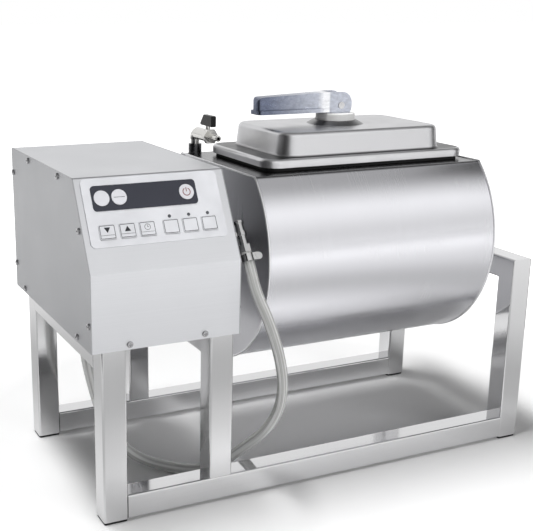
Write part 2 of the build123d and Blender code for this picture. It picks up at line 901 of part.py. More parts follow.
# Drum shell, rolled and folded, with the mouth's raised lip and the valve's socket
valve_x = drum_left + valve_shift
with BuildPart() as drum_shell:
    with BuildSketch(Plane.YZ.offset(drum_left)):
        drum_outline()
    extrude(amount=drum_length)
    with BuildSketch(Plane.YZ.offset(drum_left)):
        drum_outline(drum_wall)
    extrude(amount=drum_length, mode=Mode.SUBTRACT)
    with BuildSketch(Plane.XY.offset(flat_under)):
        with Locations((lid_x, 0)):
            RectangleRounded(
                mouth_length + 2 * lip_wall,
                mouth_width + 2 * lip_wall,
                mouth_corner + lip_wall,
            )
    extrude(amount=drum_wall + lip_height)
    with BuildSketch(Plane.XY.offset(flat_under)):
        with Locations((lid_x, 0)):
            RectangleRounded(mouth_length, mouth_width, mouth_corner)
    extrude(amount=drum_wall + lip_height, mode=Mode.SUBTRACT)
    with BuildSketch(Plane.XY.offset(flat_under)):
        with Locations((valve_x, valve_depth)):
            Circle(socket_radius)
    extrude(amount=drum_wall + socket_height)
    with BuildSketch(Plane.XY.offset(flat_under)):
        with Locations((valve_x, valve_depth)):
            Circle(pipe_bore)
    extrude(amount=drum_wall + socket_height, mode=Mode.SUBTRACT)
drum_shell.part.label = "drum_shell"
export_step(drum_shell.part, "parts/drum_shell.step")

# End plates, set a little inside the shell's ends
for name, x in (
    ("drum_left_end", left_end_x),
    ("drum_right_end", right_end_x - end_thickness),
):
    with BuildPart() as drum_end:
        with BuildSketch(Plane.YZ.offset(x)):
            drum_outline(drum_wall + weld_gap)
        extrude(amount=end_thickness)
    drum_end.part.label = name
    export_step(drum_end.part, f"parts/{name}.step")

# Drive shaft with the hub flange that is bolted to the left end plate
shaft_left = coupling_right - coupling_length * 0.6 + 0.5
with BuildPart() as drive_shaft:
    with BuildSketch(Plane.YZ.offset(left_end_x)):
        with Locations((0, axis_z)):
            Circle(hub_radius)
    extrude(amount=-hub_thickness)
    chamfer(edges().filter_by(GeomType.CIRCLE).group_by(Axis.X)[0], 1.0)
    with BuildSketch(Plane.YZ.offset(shaft_left)):
        with Locations((0, axis_z)):
            Circle(shaft_radius)
    extrude(amount=left_end_x - shaft_left)
drive_shaft.part.label = "drive_shaft"
export_step(drive_shaft.part, "parts/drive_shaft.step")

# Tail shaft with its hub flange on the right end plate
tail_end = frame_right - 2.0
with BuildPart() as tail_shaft:
    with BuildSketch(Plane.YZ.offset(right_end_x)):
        with Locations((0, axis_z)):
            Circle(hub_radius)
    extrude(amount=hub_thickness)
    chamfer(edges().filter_by(GeomType.CIRCLE).group_by(Axis.X)[-1], 1.0)
    with BuildSketch(Plane.YZ.offset(right_end_x)):
        with Locations((0, axis_z)):
            Circle(shaft_radius)
    extrude(amount=tail_end - right_end_x)
    chamfer(edges().filter_by(GeomType.CIRCLE).group_by(Axis.X)[-1], 1.0)
tail_shaft.part.label = "tail_shaft"
export_step(tail_shaft.part, "parts/tail_shaft.step")

# Tail bearing, a cast pillow block on top of the arch
with BuildPart() as tail_bearing:
    with BuildSketch(Plane.YZ.offset(right_post_x - tail_block_width / 2)):
        with Locations((0, arch_top + tail_foot_height / 2)):
            Rectangle(tail_block_length, tail_foot_height)
        with Locations((0, axis_z)):
            Circle(tail_hub_radius)
        with Locations((0, arch_top + bearing_height / 2)):
            Rectangle(2 * tail_hub_radius, bearing_height)
        with Locations((0, axis_z)):
            Circle(shaft_radius + running_gap, mode=Mode.SUBTRACT)
    extrude(amount=tail_block_width)
    with BuildSketch(Plane.XY.offset(arch_top)):
        with Locations((right_post_x, -tail_slot_place), (right_post_x, tail_slot_place)):
            Circle(tail_slot_radius)
    extrude(amount=tail_foot_height, mode=Mode.SUBTRACT)
tail_bearing.part.label = "tail_bearing"
export_step(tail_bearing.part, "parts/tail_bearing.step")

# Tumbling baffles, angle strips welded along the inside of the shell
baffle_length = right_end_x - left_end_x - 2 * (end_thickness + baffle_end_gap)
baffle_seat = drum_radius - drum_wall - weld_gap
with BuildPart() as tumbling_baffles:
    with BuildSketch(Plane.YZ.offset(drum_x - baffle_length / 2)):
        for angle in baffle_angles:
            with Locations(Location((0, axis_z, 0), angle)):
                with Locations((baffle_seat - baffle_height / 2, 0)):
                    Rectangle(baffle_height, baffle_thickness)
    extrude(amount=baffle_length)
tumbling_baffles.part.label = "tumbling_baffles"
export_step(tumbling_baffles.part, "parts/tumbling_baffles.step")


def lid_rim(inset):
    """Draw the lid's outer outline, inset all round."""
    with Locations((lid_x, 0)):
        RectangleRounded(lid_length - 2 * inset, lid_width - 2 * inset, lid_corner - inset)


def lid_dome(inset):
    """Draw the foot of the lid's dome, inset all round."""
    with Locations((lid_x, 0)):
        RectangleRounded(dome_length - 2 * inset, dome_width - 2 * inset, dome_corner - inset)


# Hollow under the lid: the space inside its dome and its rim
with BuildPart() as lid_core:
    with BuildSketch(Plane.XY.offset(rim_top - lid_sheet)):
        lid_dome(lid_sheet)
    extrude(amount=dome_height, taper=dome_taper)
    fillet(faces().sort_by(Axis.Z)[-1].edges(), dome_edge - lid_sheet)
    with BuildSketch(Plane.XY.offset(rim_bottom)):
        lid_rim(lid_sheet)
    extrude(amount=rim_height - lid_sheet)
    shoulder = faces().filter_by(GeomType.PLANE).filter_by(Axis.Z)
    shoulder = shoulder.group_by(Axis.Z)[1].sort_by(SortBy.AREA)[-1]
    fillet(shoulder.outer_wire().edges(), rim_roll - lid_sheet)

# Lid pan: domed panel, flat flange and a rim rolled down at the edge
with BuildPart() as lid_pan:
    with BuildSketch(Plane.XY.offset(rim_top)):
        lid_dome(0)
    extrude(amount=dome_height, taper=dome_taper)
    fillet(faces().sort_by(Axis.Z)[-1].edges(), dome_edge)
    with BuildSketch(Plane.XY.offset(rim_bottom)):
        lid_rim(0)
    extrude(amount=rim_height)
    shoulder = faces().filter_by(GeomType.PLANE).filter_by(Axis.Z)
    shoulder = shoulder.group_by(Axis.Z)[1].sort_by(SortBy.AREA)[-1]
    fillet(shoulder.inner_wires()[0].edges(), dome_foot)
    shoulder = faces().filter_by(GeomType.PLANE).filter_by(Axis.Z)
    shoulder = shoulder.group_by(Axis.Z)[1].sort_by(SortBy.AREA)[-1]
    fillet(shoulder.outer_wire().edges(), rim_roll)
    with Locations((clamp_x, 0, dome_top + boss_height / 2)):
        Cone(boss_radius, boss_top_radius, boss_height)
    add(lid_core.part, mode=Mode.SUBTRACT)
    with Locations((clamp_x, 0, dome_top - lid_sheet + boss_height / 2)):
        Cone(boss_radius, boss_top_radius, boss_height, mode=Mode.SUBTRACT)
    with BuildSketch(Plane.XY.offset(boss_top - lid_sheet)):
        with Locations((clamp_x, 0)):
            Circle(stud_radius + seat_gap)
    extrude(amount=lid_sheet, mode=Mode.SUBTRACT)
lid_pan.part.label = "lid_pan"
export_step(lid_pan.part, "parts/lid_pan.step")

# Gasket under the lid's flange
with BuildPart() as lid_gasket:
    with BuildSketch(Plane.XY.offset(flat_z)):
        lid_rim(gasket_inset)
        with Locations((lid_x, 0)):
            RectangleRounded(
                lid_length - 2 * (gasket_inset + gasket_width),
                lid_width - 2 * (gasket_inset + gasket_width),
                dome_corner / 2,
                mode=Mode.SUBTRACT,
            )
    extrude(amount=lid_gap + rim_height - lid_sheet)
lid_gasket.part.label = "lid_gasket"
export_step(lid_gasket.part, "parts/lid_gasket.step")

# Nylon saddle that the cam ears bear on, slotted for them
with BuildPart() as clamp_saddle:
    with BuildSketch(Plane.XY.offset(boss_top)):
        with Locations((clamp_x, 0)):
            Circle(saddle_radius)
    extrude(amount=saddle_height)
    fillet(edges().filter_by(GeomType.CIRCLE).sort_by(Axis.Z)[-1], saddle_edge)
    with BuildSketch(Plane.XY.offset(slot_floor)):
        with Locations((clamp_x, 0)):
            Rectangle(2 * (cam_reach + seat_gap), ear_outside + 2 * saddle_slot_gap)
    extrude(amount=saddle_height, mode=Mode.SUBTRACT)
    with BuildSketch(Plane.XY.offset(boss_top)):
        with Locations((clamp_x, 0)):
            Circle(stud_radius + running_gap)
    extrude(amount=saddle_height, mode=Mode.SUBTRACT)
clamp_saddle.part.label = "clamp_saddle"
export_step(clamp_saddle.part, "parts/clamp_saddle.step")

# Stud through the lid, with an eye for the lever's pin and a nut below the crossbar
eye_width = ear_inside - 2 * seat_gap / 2
with BuildPart() as clamp_stud:
    with BuildSketch(Plane.XY.offset(crossbar_bottom - stud_nut_height)):
        with Locations((clamp_x, 0)):
            Circle(stud_radius)
    extrude(amount=pin_z - crossbar_bottom + stud_nut_height)
    with BuildSketch(Plane.XY.offset(crossbar_bottom - stud_nut_height)):
        with Locations((clamp_x, 0)):
            RegularPolygon(stud_nut_radius, 6)
    extrude(amount=stud_nut_height)
    with BuildSketch(Plane.XZ.offset(-eye_width / 2)):
        with Locations((clamp_x, pin_z)):
            Circle(stud_eye_radius)
    extrude(amount=eye_width)
    with BuildSketch(Plane.XZ.offset(-eye_width / 2)):
        with Locations((clamp_x, pin_z)):
            Circle(pin_radius + running_gap)
    extrude(amount=eye_width, mode=Mode.SUBTRACT)
clamp_stud.part.label = "clamp_stud"
export_step(clamp_stud.part, "parts/clamp_stud.step")

# Crossbar that catches under the mouth's long edges
with BuildPart() as clamp_crossbar:
    with BuildSketch(Plane.XY.offset(crossbar_bottom)):
        with Locations((clamp_x, 0)):
            SlotOverall(crossbar_length, crossbar_width)
            Circle(stud_radius + running_gap, mode=Mode.SUBTRACT)
    extrude(amount=crossbar_thickness)
    chamfer(faces().sort_by(Axis.Z)[-1].outer_wire().edges(), 1.0)
clamp_crossbar.part.label = "clamp_crossbar"
export_step(clamp_crossbar.part, "parts/clamp_crossbar.step")

# Cam lever, stamped from sheet: a channel on a wider foot, flared out to two cam ears
tip_x = clamp_x - lever_length
neck_x = clamp_x - ear_reach
flare_x = neck_x - lever_flare
lever_bottom = pin_z - lever_drop
web_slope = atan2(ear_top - lever_tip_top, lever_length - ear_reach)
cam_side = cam_reach - cam_throw


def lever_plan(end, inset):
    """Draw the channel from above, to the neck and inset all round but there."""
    side = lever_width / 2 - inset
    neck_side = ear_outside / 2 + lever_proud - inset
    with BuildLine() as plan:
        Polyline(
            (end, -side),
            (flare_x, -side),
            (neck_x, -neck_side),
            (neck_x, neck_side),
            (flare_x, side),
            (end, side),
            close=True,
        )
    make_face(plan.edges())
    fillet(vertices().group_by(Axis.X)[0], lever_plan_corner - inset)


with BuildPart() as cam_lever:
    with BuildSketch(Plane.XZ.offset(-lever_width)):
        with BuildLine():
            Polyline(
                (tip_x, lever_bottom),
                (neck_x, lever_bottom),
                (neck_x, pin_z + ear_top),
                (tip_x, pin_z + lever_tip_top),
                close=True,
            )
        make_face()
        fillet(vertices().sort_by(Axis.X)[:2].sort_by(Axis.Y)[-1], lever_tip_corner)
        with Locations((clamp_x, pin_z - cam_throw)):
            Circle(cam_side)
        with BuildLine():
            l1 = Line((neck_x, lever_bottom), (neck_x, pin_z + ear_top))
            l2 = Line(l1 @ 1, (clamp_x + ear_flat, pin_z + ear_top))
            ear_round_end = (clamp_x + cam_side, pin_z + ear_top - cam_side + ear_flat)
            l3 = TangentArc(l2 @ 1, ear_round_end, tangent=(1, 0))
            l4 = Line(l3 @ 1, (clamp_x + cam_side, pin_z - cam_throw))
            l5 = Line(l4 @ 1, l1 @ 0)
        make_face()
    extrude(amount=2 * lever_width)
    with BuildSketch(Plane.XY.offset(slot_floor)):
        lever_plan(tip_x, 0)
        with Locations((neck_x + cam_reach, 0)):
            Rectangle(2 * cam_reach, ear_outside)
    extrude(amount=4 * cam_reach, mode=Mode.INTERSECT)
    foot_length = neck_x - tip_x + lever_foot + lever_plan_corner
    with BuildSketch(Plane.XY.offset(lever_bottom)):
        with Locations((tip_x - lever_foot + foot_length / 2, 0)):
            RectangleRounded(foot_length, ear_outside, lever_plan_corner)
    extrude(amount=lever_foot_height)
    with BuildSketch(Plane.XY.offset(lever_bottom)):
        with Locations((tip_x - lever_foot + foot_length / 2, 0)):
            RectangleRounded(
                foot_length - 2 * lever_sheet,
                ear_inside,
                lever_plan_corner - lever_sheet,
            )
    extrude(amount=lever_foot_height - lever_sheet, mode=Mode.SUBTRACT)
    web_under = Plane(
        origin=(0, 0, pin_z + lever_tip_top - tip_x * tan(web_slope)),
        x_dir=(cos(web_slope), 0, sin(web_slope)),
        z_dir=(-sin(web_slope), 0, cos(web_slope)),
    ).offset(-lever_sheet)
    with BuildSketch(web_under):
        lever_plan(tip_x + lever_sheet, lever_sheet)
    extrude(amount=-2 * lever_width, mode=Mode.SUBTRACT)
    with BuildSketch(Plane.XY.offset(slot_floor)):
        with Locations((neck_x + 2 * cam_reach, 0)):
            Rectangle(4 * cam_reach, ear_inside)
    extrude(amount=4 * cam_reach, mode=Mode.SUBTRACT)
    with BuildSketch(Plane.XZ.offset(-lever_width)):
        with Locations((clamp_x, pin_z)):
            Circle(pin_radius + running_gap)
    extrude(amount=2 * lever_width, mode=Mode.SUBTRACT)
cam_lever.part.label = "cam_lever"
export_step(cam_lever.part, "parts/cam_lever.step")

# Pin through the ears and the stud's eye
with BuildPart() as lever_pin:
    with BuildSketch(Plane.XZ.offset(-ear_outside / 2)):
        with Locations((clamp_x, pin_z)):
            Circle(pin_radius)
    extrude(amount=ear_outside)
    for y, way in ((-ear_outside / 2, -1), (ear_outside / 2, 1)):
        with BuildSketch(Plane.XZ.offset(-y)):
            with Locations((clamp_x, pin_z)):
                Circle(pin_head_radius)
        extrude(amount=-way * pin_head_height)
lever_pin.part.label = "lever_pin"
export_step(lever_pin.part, "parts/lever_pin.step")

# Elbow from the drum's socket to the valve, which points to the front
socket_top = flat_z + socket_height
valve_z = flat_z + valve_rise
elbow_end = valve_depth - elbow_bend
elbow_low = valve_z - elbow_bend
with BuildPart() as valve_elbow:
    with BuildSketch(Plane.XY.offset(socket_top)):
        with Locations((valve_x, valve_depth)):
            Circle(pipe_radius)
    extrude(amount=elbow_low - socket_top)
    with BuildLine() as elbow_path:
        ThreePointArc(
            (valve_x, valve_depth, elbow_low),
            (
                valve_x,
                elbow_end + elbow_bend * cos(radians(45)),
                elbow_low + elbow_bend * sin(radians(45)),
            ),
            (valve_x, elbow_end, valve_z),
        )
    with BuildSketch(Plane.XY.offset(elbow_low)):
        with Locations((valve_x, valve_depth)):
            Circle(elbow_radius)
    sweep(path=elbow_path.line)
valve_elbow.part.label = "valve_elbow"
export_step(valve_elbow.part, "parts/valve_elbow.step")

# Ball valve body: a barrel with a hexagon end, bored through, with room for the ball
barrel_plane = Plane.XZ.offset(-elbow_end)
stem_y = elbow_end - stem_place
hex_face = elbow_end - body_length - hex_length
with BuildPart() as valve_body:
    with BuildSketch(barrel_plane):
        with Locations((valve_x, valve_z)):
            Circle(body_radius)
    extrude(amount=body_length)
    with BuildSketch(barrel_plane.offset(body_length)):
        with Locations((valve_x, valve_z)):
            RegularPolygon(hex_width / 2, 6, major_radius=False)
    extrude(amount=hex_length)
    with BuildSketch(barrel_plane):
        with Locations((valve_x, valve_z)):
            Circle(pipe_bore)
    extrude(amount=body_length + hex_length, mode=Mode.SUBTRACT)
    with Locations((valve_x, stem_y, valve_z)):
        Sphere(ball_radius + ball_gap, mode=Mode.SUBTRACT)
    with BuildSketch(Plane.XY.offset(valve_z)):
        with Locations((valve_x, stem_y)):
            Circle(stem_radius + running_gap)
    extrude(amount=2 * body_radius, mode=Mode.SUBTRACT)
valve_body.part.label = "valve_body"
export_step(valve_body.part, "parts/valve_body.step")

# Hose nozzle screwed into the valve's end
with BuildPart() as valve_nozzle:
    with BuildSketch(Plane.XZ.offset(-hex_face)):
        with Locations((valve_x, valve_z)):
            RegularPolygon(nozzle_hex_width / 2, 6, major_radius=False)
    extrude(amount=nozzle_hex_length)
    with BuildSketch(Plane.XZ.offset(-hex_face)):
        with Locations((valve_x, valve_z)):
            Circle(nozzle_radius)
    extrude(amount=nozzle_length)
    chamfer(edges().filter_by(GeomType.CIRCLE).group_by(Axis.Y)[0], 0.6)
    with BuildSketch(Plane.XZ.offset(-hex_face)):
        with Locations((valve_x, valve_z)):
            Circle(nozzle_bore)
    extrude(amount=nozzle_length, mode=Mode.SUBTRACT)
valve_nozzle.part.label = "valve_nozzle"
export_step(valve_nozzle.part, "parts/valve_nozzle.step")

# Ball and stem, turned in one piece
handle_bottom = valve_z + handle_rise
with BuildPart() as valve_ball:
    with Locations((valve_x, stem_y, valve_z)):
        Sphere(ball_radius)
    with BuildSketch(Plane.XY.offset(valve_z + stem_radius)):
        with Locations((valve_x, stem_y)):
            Circle(stem_radius)
    extrude(amount=handle_rise - stem_radius)
    with BuildSketch(Plane.XZ.offset(-stem_y)):
        with Locations((valve_x, valve_z)):
            Circle(ball_bore)
    extrude(amount=2 * ball_radius, both=True, mode=Mode.SUBTRACT)
valve_ball.part.label = "valve_ball"
export_step(valve_ball.part, "parts/valve_ball.step")

# Handle on the stem, its tail in line with the pipe when the valve is open
with BuildPart() as valve_handle:
    with BuildSketch(Plane.YZ.offset(valve_x)):
        with BuildLine():
            Polyline(
                (stem_y - handle_front, handle_bottom),
                (stem_y + handle_back, handle_bottom),
                (stem_y + handle_back - handle_slant, handle_bottom + handle_height),
                (stem_y - handle_front, handle_bottom + handle_height),
                close=True,
            )
        make_face()
        fillet(vertices(), handle_corner)
    extrude(amount=handle_width / 2, both=True)
    fillet(faces().filter_by(Axis.X).edges(), handle_edge)
valve_handle.part.label = "valve_handle"
export_step(valve_handle.part, "parts/valve_handle.step")

# Metal connector at the hose's free end, parked in its clip on the housing
connector_axis = (Vector(*hose_route[0]) - Vector(*hose_route[1])).normalized()
connector_plane = Plane(
    origin=(
        housing_right + clip_reach,
        -housing_depth / 2 + connector_front,
        low_top + connector_rise,
    ),
    x_dir=(1, 0, 0),
    z_dir=connector_axis,
)
with BuildPart() as hose_connector:
    with BuildSketch(connector_plane):
        RegularPolygon(connector_hex_width / 2, 6, major_radius=False)
    extrude(amount=connector_hex_length)
    with BuildSketch(connector_plane.offset(connector_hex_length)):
        Circle(connector_radius)
    extrude(amount=connector_length - connector_hex_length)
    with BuildSketch(connector_plane.offset(connector_length - connector_collar_length)):
        Circle(connector_collar)
    extrude(amount=connector_collar_length)
    fillet(edges().filter_by(GeomType.CIRCLE).group_by(Axis.Z)[-1], clamp_wall / 2)
    with BuildSketch(connector_plane):
        Circle(connector_bore)
    extrude(amount=connector_length, mode=Mode.SUBTRACT)
hose_connector.part.label = "hose_connector"
export_step(hose_connector.part, "parts/hose_connector.step")

# Clip that holds the connector on the right side panel
with BuildPart() as connector_clip:
    with BuildSketch(connector_plane.offset(clip_place)):
        Circle(connector_radius + clamp_gap + clip_wall)
        with Locations((-clip_reach / 2, 0)):
            Rectangle(clip_reach, clip_arm)
        with Locations((-clip_reach + clip_wall / 2, 0)):
            Rectangle(clip_wall, clip_foot)
        Circle(connector_radius + clamp_gap, mode=Mode.SUBTRACT)
    extrude(amount=clip_length)
connector_clip.part.label = "connector_clip"
export_step(connector_clip.part, "parts/connector_clip.step")

# Worm clamp round the hose below the connector
clamp_inner = hose_radius + clamp_gap
screw_out = clamp_inner + clamp_wall + clamp_screw_radius - 1
with BuildPart() as hose_clamp:
    with BuildSketch(connector_plane.offset(-clamp_start)):
        Circle(clamp_inner + clamp_wall)
        with Locations((clamp_inner + clamp_wall, -clamp_screw_radius)):
            Rectangle(2 * clamp_screw_radius, 2 * clamp_screw_radius)
        Circle(clamp_inner, mode=Mode.SUBTRACT)
    extrude(amount=-clamp_width)
    screw_plane = Plane(
        origin=connector_plane.from_local_coords(
            (screw_out, clamp_screw_radius, -clamp_start - clamp_width / 2)
        ),
        x_dir=(1, 0, 0),
        z_dir=-connector_plane.y_dir,
    )
    with BuildSketch(screw_plane):
        Circle(clamp_screw_radius)
    extrude(amount=clamp_screw_length)
hose_clamp.part.label = "hose_clamp"
export_step(hose_clamp.part, "parts/hose_clamp.step")


def route_radii(points, share=0.45):
    """Give each corner of a route the largest arc that its two runs allow."""
    radii = []
    for before, here, after in zip(points, points[1:], points[2:]):
        run_in = Vector(*here) - Vector(*before)
        run_out = Vector(*after) - Vector(*here)
        turn = radians(run_in.get_angle(run_out))
        shorter = min(run_in.length, run_out.length)
        radii.append(share * shorter / tan(turn / 2))
    return radii


# Hose, swept along straight runs joined by tangent arcs
hose_radii = route_radii(hose_route)
with BuildPart() as vacuum_hose:
    with BuildLine() as hose_line:
        FilletPolyline(*hose_route, radius=hose_radii)
    with BuildSketch(Plane(origin=hose_route[0], x_dir=(1, 0, 0), z_dir=connector_axis)):
        Circle(hose_radius)
    sweep(path=hose_line.line)
vacuum_hose.part.label = "vacuum_hose"
export_step(vacuum_hose.part, "parts/vacuum_hose.step")

# Gland that the hose goes into under the base tray
with BuildPart() as hose_gland:
    with BuildSketch(Plane.XY.offset(gland_bottom)):
        with Locations((gland_x, gland_y)):
            RegularPolygon(gland_radius, 6, major_radius=False)
    extrude(amount=low_top - gland_bottom)
    with BuildSketch(Plane.XY.offset(low_top)):
        with Locations((gland_x, gland_y)):
            Circle(gland_neck_radius)
    extrude(amount=base_sheet)
    with BuildSketch(Plane.XY.offset(tray_top)):
        with Locations((gland_x, gland_y)):
            RegularPolygon(gland_radius, 6, major_radius=False)
    extrude(amount=gland_nut_height)
    with BuildSketch(Plane.XY.offset(gland_bottom)):
        with Locations((gland_x, gland_y)):
            Circle(gland_bore)
    extrude(amount=low_top + base_sheet + gland_nut_height - gland_bottom, mode=Mode.SUBTRACT)
hose_gland.part.label = "hose_gland"
export_step(hose_gland.part, "parts/hose_gland.step")

hose_length = hose_line.wire().length
hose_section = pi * hose_radius**2
print("hose radii", [round(radius, 1) for radius in hose_radii])
print("hose length", round(hose_length, 1))
print("hose volume share", round(vacuum_hose.part.volume / (hose_section * hose_length), 4))
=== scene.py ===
"""Looks of a tabletop vacuum tumbler: finishes, panel marks, hose, stage and camera."""

import math

import bmesh
import bpy
from bpy.props import FloatProperty, FloatVectorProperty, PointerProperty, StringProperty
from mathutils import Matrix, Vector


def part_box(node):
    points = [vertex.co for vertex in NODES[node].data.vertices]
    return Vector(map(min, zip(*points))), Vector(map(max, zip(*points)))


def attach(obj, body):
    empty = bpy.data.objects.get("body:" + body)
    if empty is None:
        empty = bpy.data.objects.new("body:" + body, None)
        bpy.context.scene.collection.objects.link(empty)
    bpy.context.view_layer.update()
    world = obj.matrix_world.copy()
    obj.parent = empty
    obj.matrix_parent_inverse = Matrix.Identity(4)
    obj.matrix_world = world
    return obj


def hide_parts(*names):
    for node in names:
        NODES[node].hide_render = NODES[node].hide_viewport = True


bl_info = {
    "name": "Vacuum tumbler looks",
    "version": (1, 0, 0),
    "blender": (4, 5, 0),
    "location": "View3D > Sidebar > Tumbler",
    "description": "Finishes, panel marks, hose and studio for a tabletop vacuum tumbler",
    "category": "Object",
}

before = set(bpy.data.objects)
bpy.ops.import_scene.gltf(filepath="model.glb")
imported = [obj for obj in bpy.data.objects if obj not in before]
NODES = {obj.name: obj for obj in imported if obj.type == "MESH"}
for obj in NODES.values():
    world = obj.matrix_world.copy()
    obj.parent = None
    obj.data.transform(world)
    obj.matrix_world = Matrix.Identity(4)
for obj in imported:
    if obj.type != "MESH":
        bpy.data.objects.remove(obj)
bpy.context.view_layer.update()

MM = 0.001

# The slanted panel leans back by this setback over this rise
SLANT_SETBACK = 54.0 * MM
SLANT_RISE = 98.5 * MM
SLANT = math.atan2(SLANT_SETBACK, SLANT_RISE)
PANEL_OUT = Vector((0, -math.cos(SLANT), math.sin(SLANT)))
PANEL_UP = Vector((0, math.sin(SLANT), math.cos(SLANT)))
PANEL_ACROSS = Vector((1, 0, 0))

# Heights of the keys' tops above the middle of the key caps
ROUND_KEY_HALF = 0.85 * MM
SQUARE_KEY_HALF = 0.65 * MM
# A printed mark's height on its key, and how far it reaches into the key
MARK_HEIGHT = 0.12 * MM
MARK_OVERLAP = 0.05 * MM
# A square key's height on the panel, and how far in from its edge the outline is printed
SQUARE_KEY_HEIGHT = 16.7 * MM
OUTLINE_INSET = 0.7 * MM
OUTLINE_CORNER = 1.1 * MM
INSIDE_CORNER = 0.7 * MM
# Rules under the symbols: length, thickness and corner radius
SQUARE_KEY_RULE = (15.4 * MM, 0.35 * MM, 0.1 * MM)
ROUND_KEY_RULE = (13.2 * MM, 0.5 * MM, 0.15 * MM)
RULE_DROP = 3.6 * MM
# Symbols: how far above the middle of their key they sit, and how thick their lines are
ARROW_LIFT = 2.2 * MM
ARROW_HALF_HEIGHT = 0.42
CLOCK_LIFT = 1.9 * MM
CLOCK_LINE = 0.45 * MM
HAND_HALF_LINE = 0.2 * MM
LONG_HAND = 0.62
SHORT_HAND = 0.8
POWER_LINE = 1.0 * MM
POWER_BAR_CORNER = 0.3 * MM
POWER_BAR_LENGTH = 1.15
POWER_BAR_LIFT = 0.62
# The power mark's ring is open at the top, between the end and the start of this arc in degrees
POWER_ARC = (118, 422)

# Height of the lid's flange above the lower edge of its rim, and the round of its corners
FLANGE_RISE = 10.8 * MM
LID_CORNER = 22.0 * MM
# Radius of the raised boss under the clamp
BOSS_RADIUS = 38.0 * MM
# The drum's axis above the floor, how far its flat side lies from the axis, and its weld bead
DRUM_AXIS = 287.0 * MM
DRUM_FLAT = 104.0 * MM
SEAM_RADIUS = 1.4 * MM
SEAM_STEPS = 96
# The lever's plating is darker towards its tip, and its neck flares between two places along X,
# where a highlight is painted
TIP_END = -20.0 * MM
NECK_START = 57.6 * MM
NECK_END = 71.0 * MM

# Route of the hose, from the connector down to the floor and up to the gland
HOSE_ROUTE = [
    (-0.1155, -0.1381, 0.3086),
    (-0.1155, -0.1512, 0.2897),
    (-0.1125, -0.1605, 0.2640),
    (-0.1030, -0.1740, 0.2340),
    (-0.0890, -0.1770, 0.1910),
    (-0.0760, -0.1660, 0.1480),
    (-0.0710, -0.1510, 0.1100),
    (-0.0780, -0.1320, 0.0740),
    (-0.0920, -0.1040, 0.0440),
    (-0.1180, -0.0880, 0.0180),
    (-0.1490, -0.0750, 0.0078),
    (-0.1750, -0.0530, 0.0076),
    (-0.2000, -0.0300, 0.0105),
    (-0.2220, -0.0100, 0.0240),
    (-0.2380, 0.0040, 0.0480),
    (-0.2490, 0.0160, 0.0800),
    (-0.2550, 0.0280, 0.1150),
    (-0.2580, 0.0390, 0.1480),
    (-0.2580, 0.0460, 0.1780),
    (-0.2580, 0.0460, 0.2060),
]

# Most of a noise lies between these values
NOISE_LOW = 0.3
NOISE_HIGH = 0.7
# Height of the fine relief that a bump stands for
RELIEF = 0.05 * MM

# The floor's glow near and far, and the distances in metres between which it grows: first where
# it is seen, then where metal mirrors it
SEEN_GLOW = (0.0, 1.0, 0.42, 1.2)
MIRRORED_GLOW = (0.03, 0.62, 0.8, 2.2)
FLOOR_HALF = 20.0
# The drape at the left: how bright it is, and where it starts and ends along a mirrored ray's X
DRAPE_LEVEL = 0.12
DRAPE_EDGES = (-0.78, -0.58)
# Black cards at the sides: the ends of each card's foot, and the cards' height, in metres
CARDS = {
    "left_card": ((-0.95, -0.1), (-0.6, -0.62)),
    "right_card": ((0.75, -0.42), (0.85, -0.1)),
}
CARD_HEIGHT = 1.1
# Lamps: where each hangs, where it points, and its width and height, in metres
LAMPS = {
    "front_lamp": ((1.3, -3.4, 1.3), (0.0, 0.0, 0.25), (2.6, 1.6)),
    "top_lamp": ((-0.7, 0.3, 3.6), (0.0, 0.0, 0.3), (1.8, 0.6)),
}
# The camera's line of sight, and the way across its picture
CAMERA_FORWARD = (0.4135, 0.8716, -0.2634)
CAMERA_ACROSS = (0.9044, -0.4266, 0.0082)
# How bright the studio is where metal mirrors it: degrees from the front horizon, over the top,
# to the back horizon, and a level where 1 is white
SKY_BANDS = (
    (0, 1.1),
    (12, 0.84),
    (24, 1.1),
    (38, 1.35),
    (48, 1.0),
    (60, 0.46),
    (78, 0.54),
    (92, 0.28),
    (104, 0.12),
    (118, 0.12),
    (135, 0.7),
    (152, 1.05),
    (180, 1.05),
)
# How light the floor is where metal mirrors it, by its distance from the tumbler in metres
FLOOR_BANDS = (
    (0.0, 1.0),
    (0.28, 1.0),
    (0.36, 0.8),
    (0.5, 0.57),
    (0.62, 0.57),
    (0.85, 0.84),
    (2.0, 0.84),
)

FRAME_ALONG_X = ("front_bottom_rail", "back_bottom_rail")
FRAME_ALONG_Y = ("left_top_rail", "mid_top_rail", "right_top_rail")
FRAME_ALONG_Z = (
    "front_left_post",
    "back_left_post",
    "front_mid_post",
    "back_mid_post",
    "front_right_post",
    "back_right_post",
)
SQUARE_KEYS = (
    "down_key",
    "up_key",
    "timer_key",
    "first_mode_key",
    "second_mode_key",
    "third_mode_key",
)
ROUND_KEYS = ("left_round_key", "middle_round_key", "power_key")


def linear(code):
    """Turn an sRGB hex colour such as D9DADD into linear red, green, blue and alpha."""
    channels = [int(code[i : i + 2], 16) / 255 for i in (0, 2, 4)]
    curve = [c / 12.92 if c <= 0.04045 else ((c + 0.055) / 1.055) ** 2.4 for c in channels]
    return (*curve, 1.0)


def colour_prop(name, code, description):
    """Make a colour property from an sRGB hex default."""
    return StringProperty(name=name, default=code, description=description)


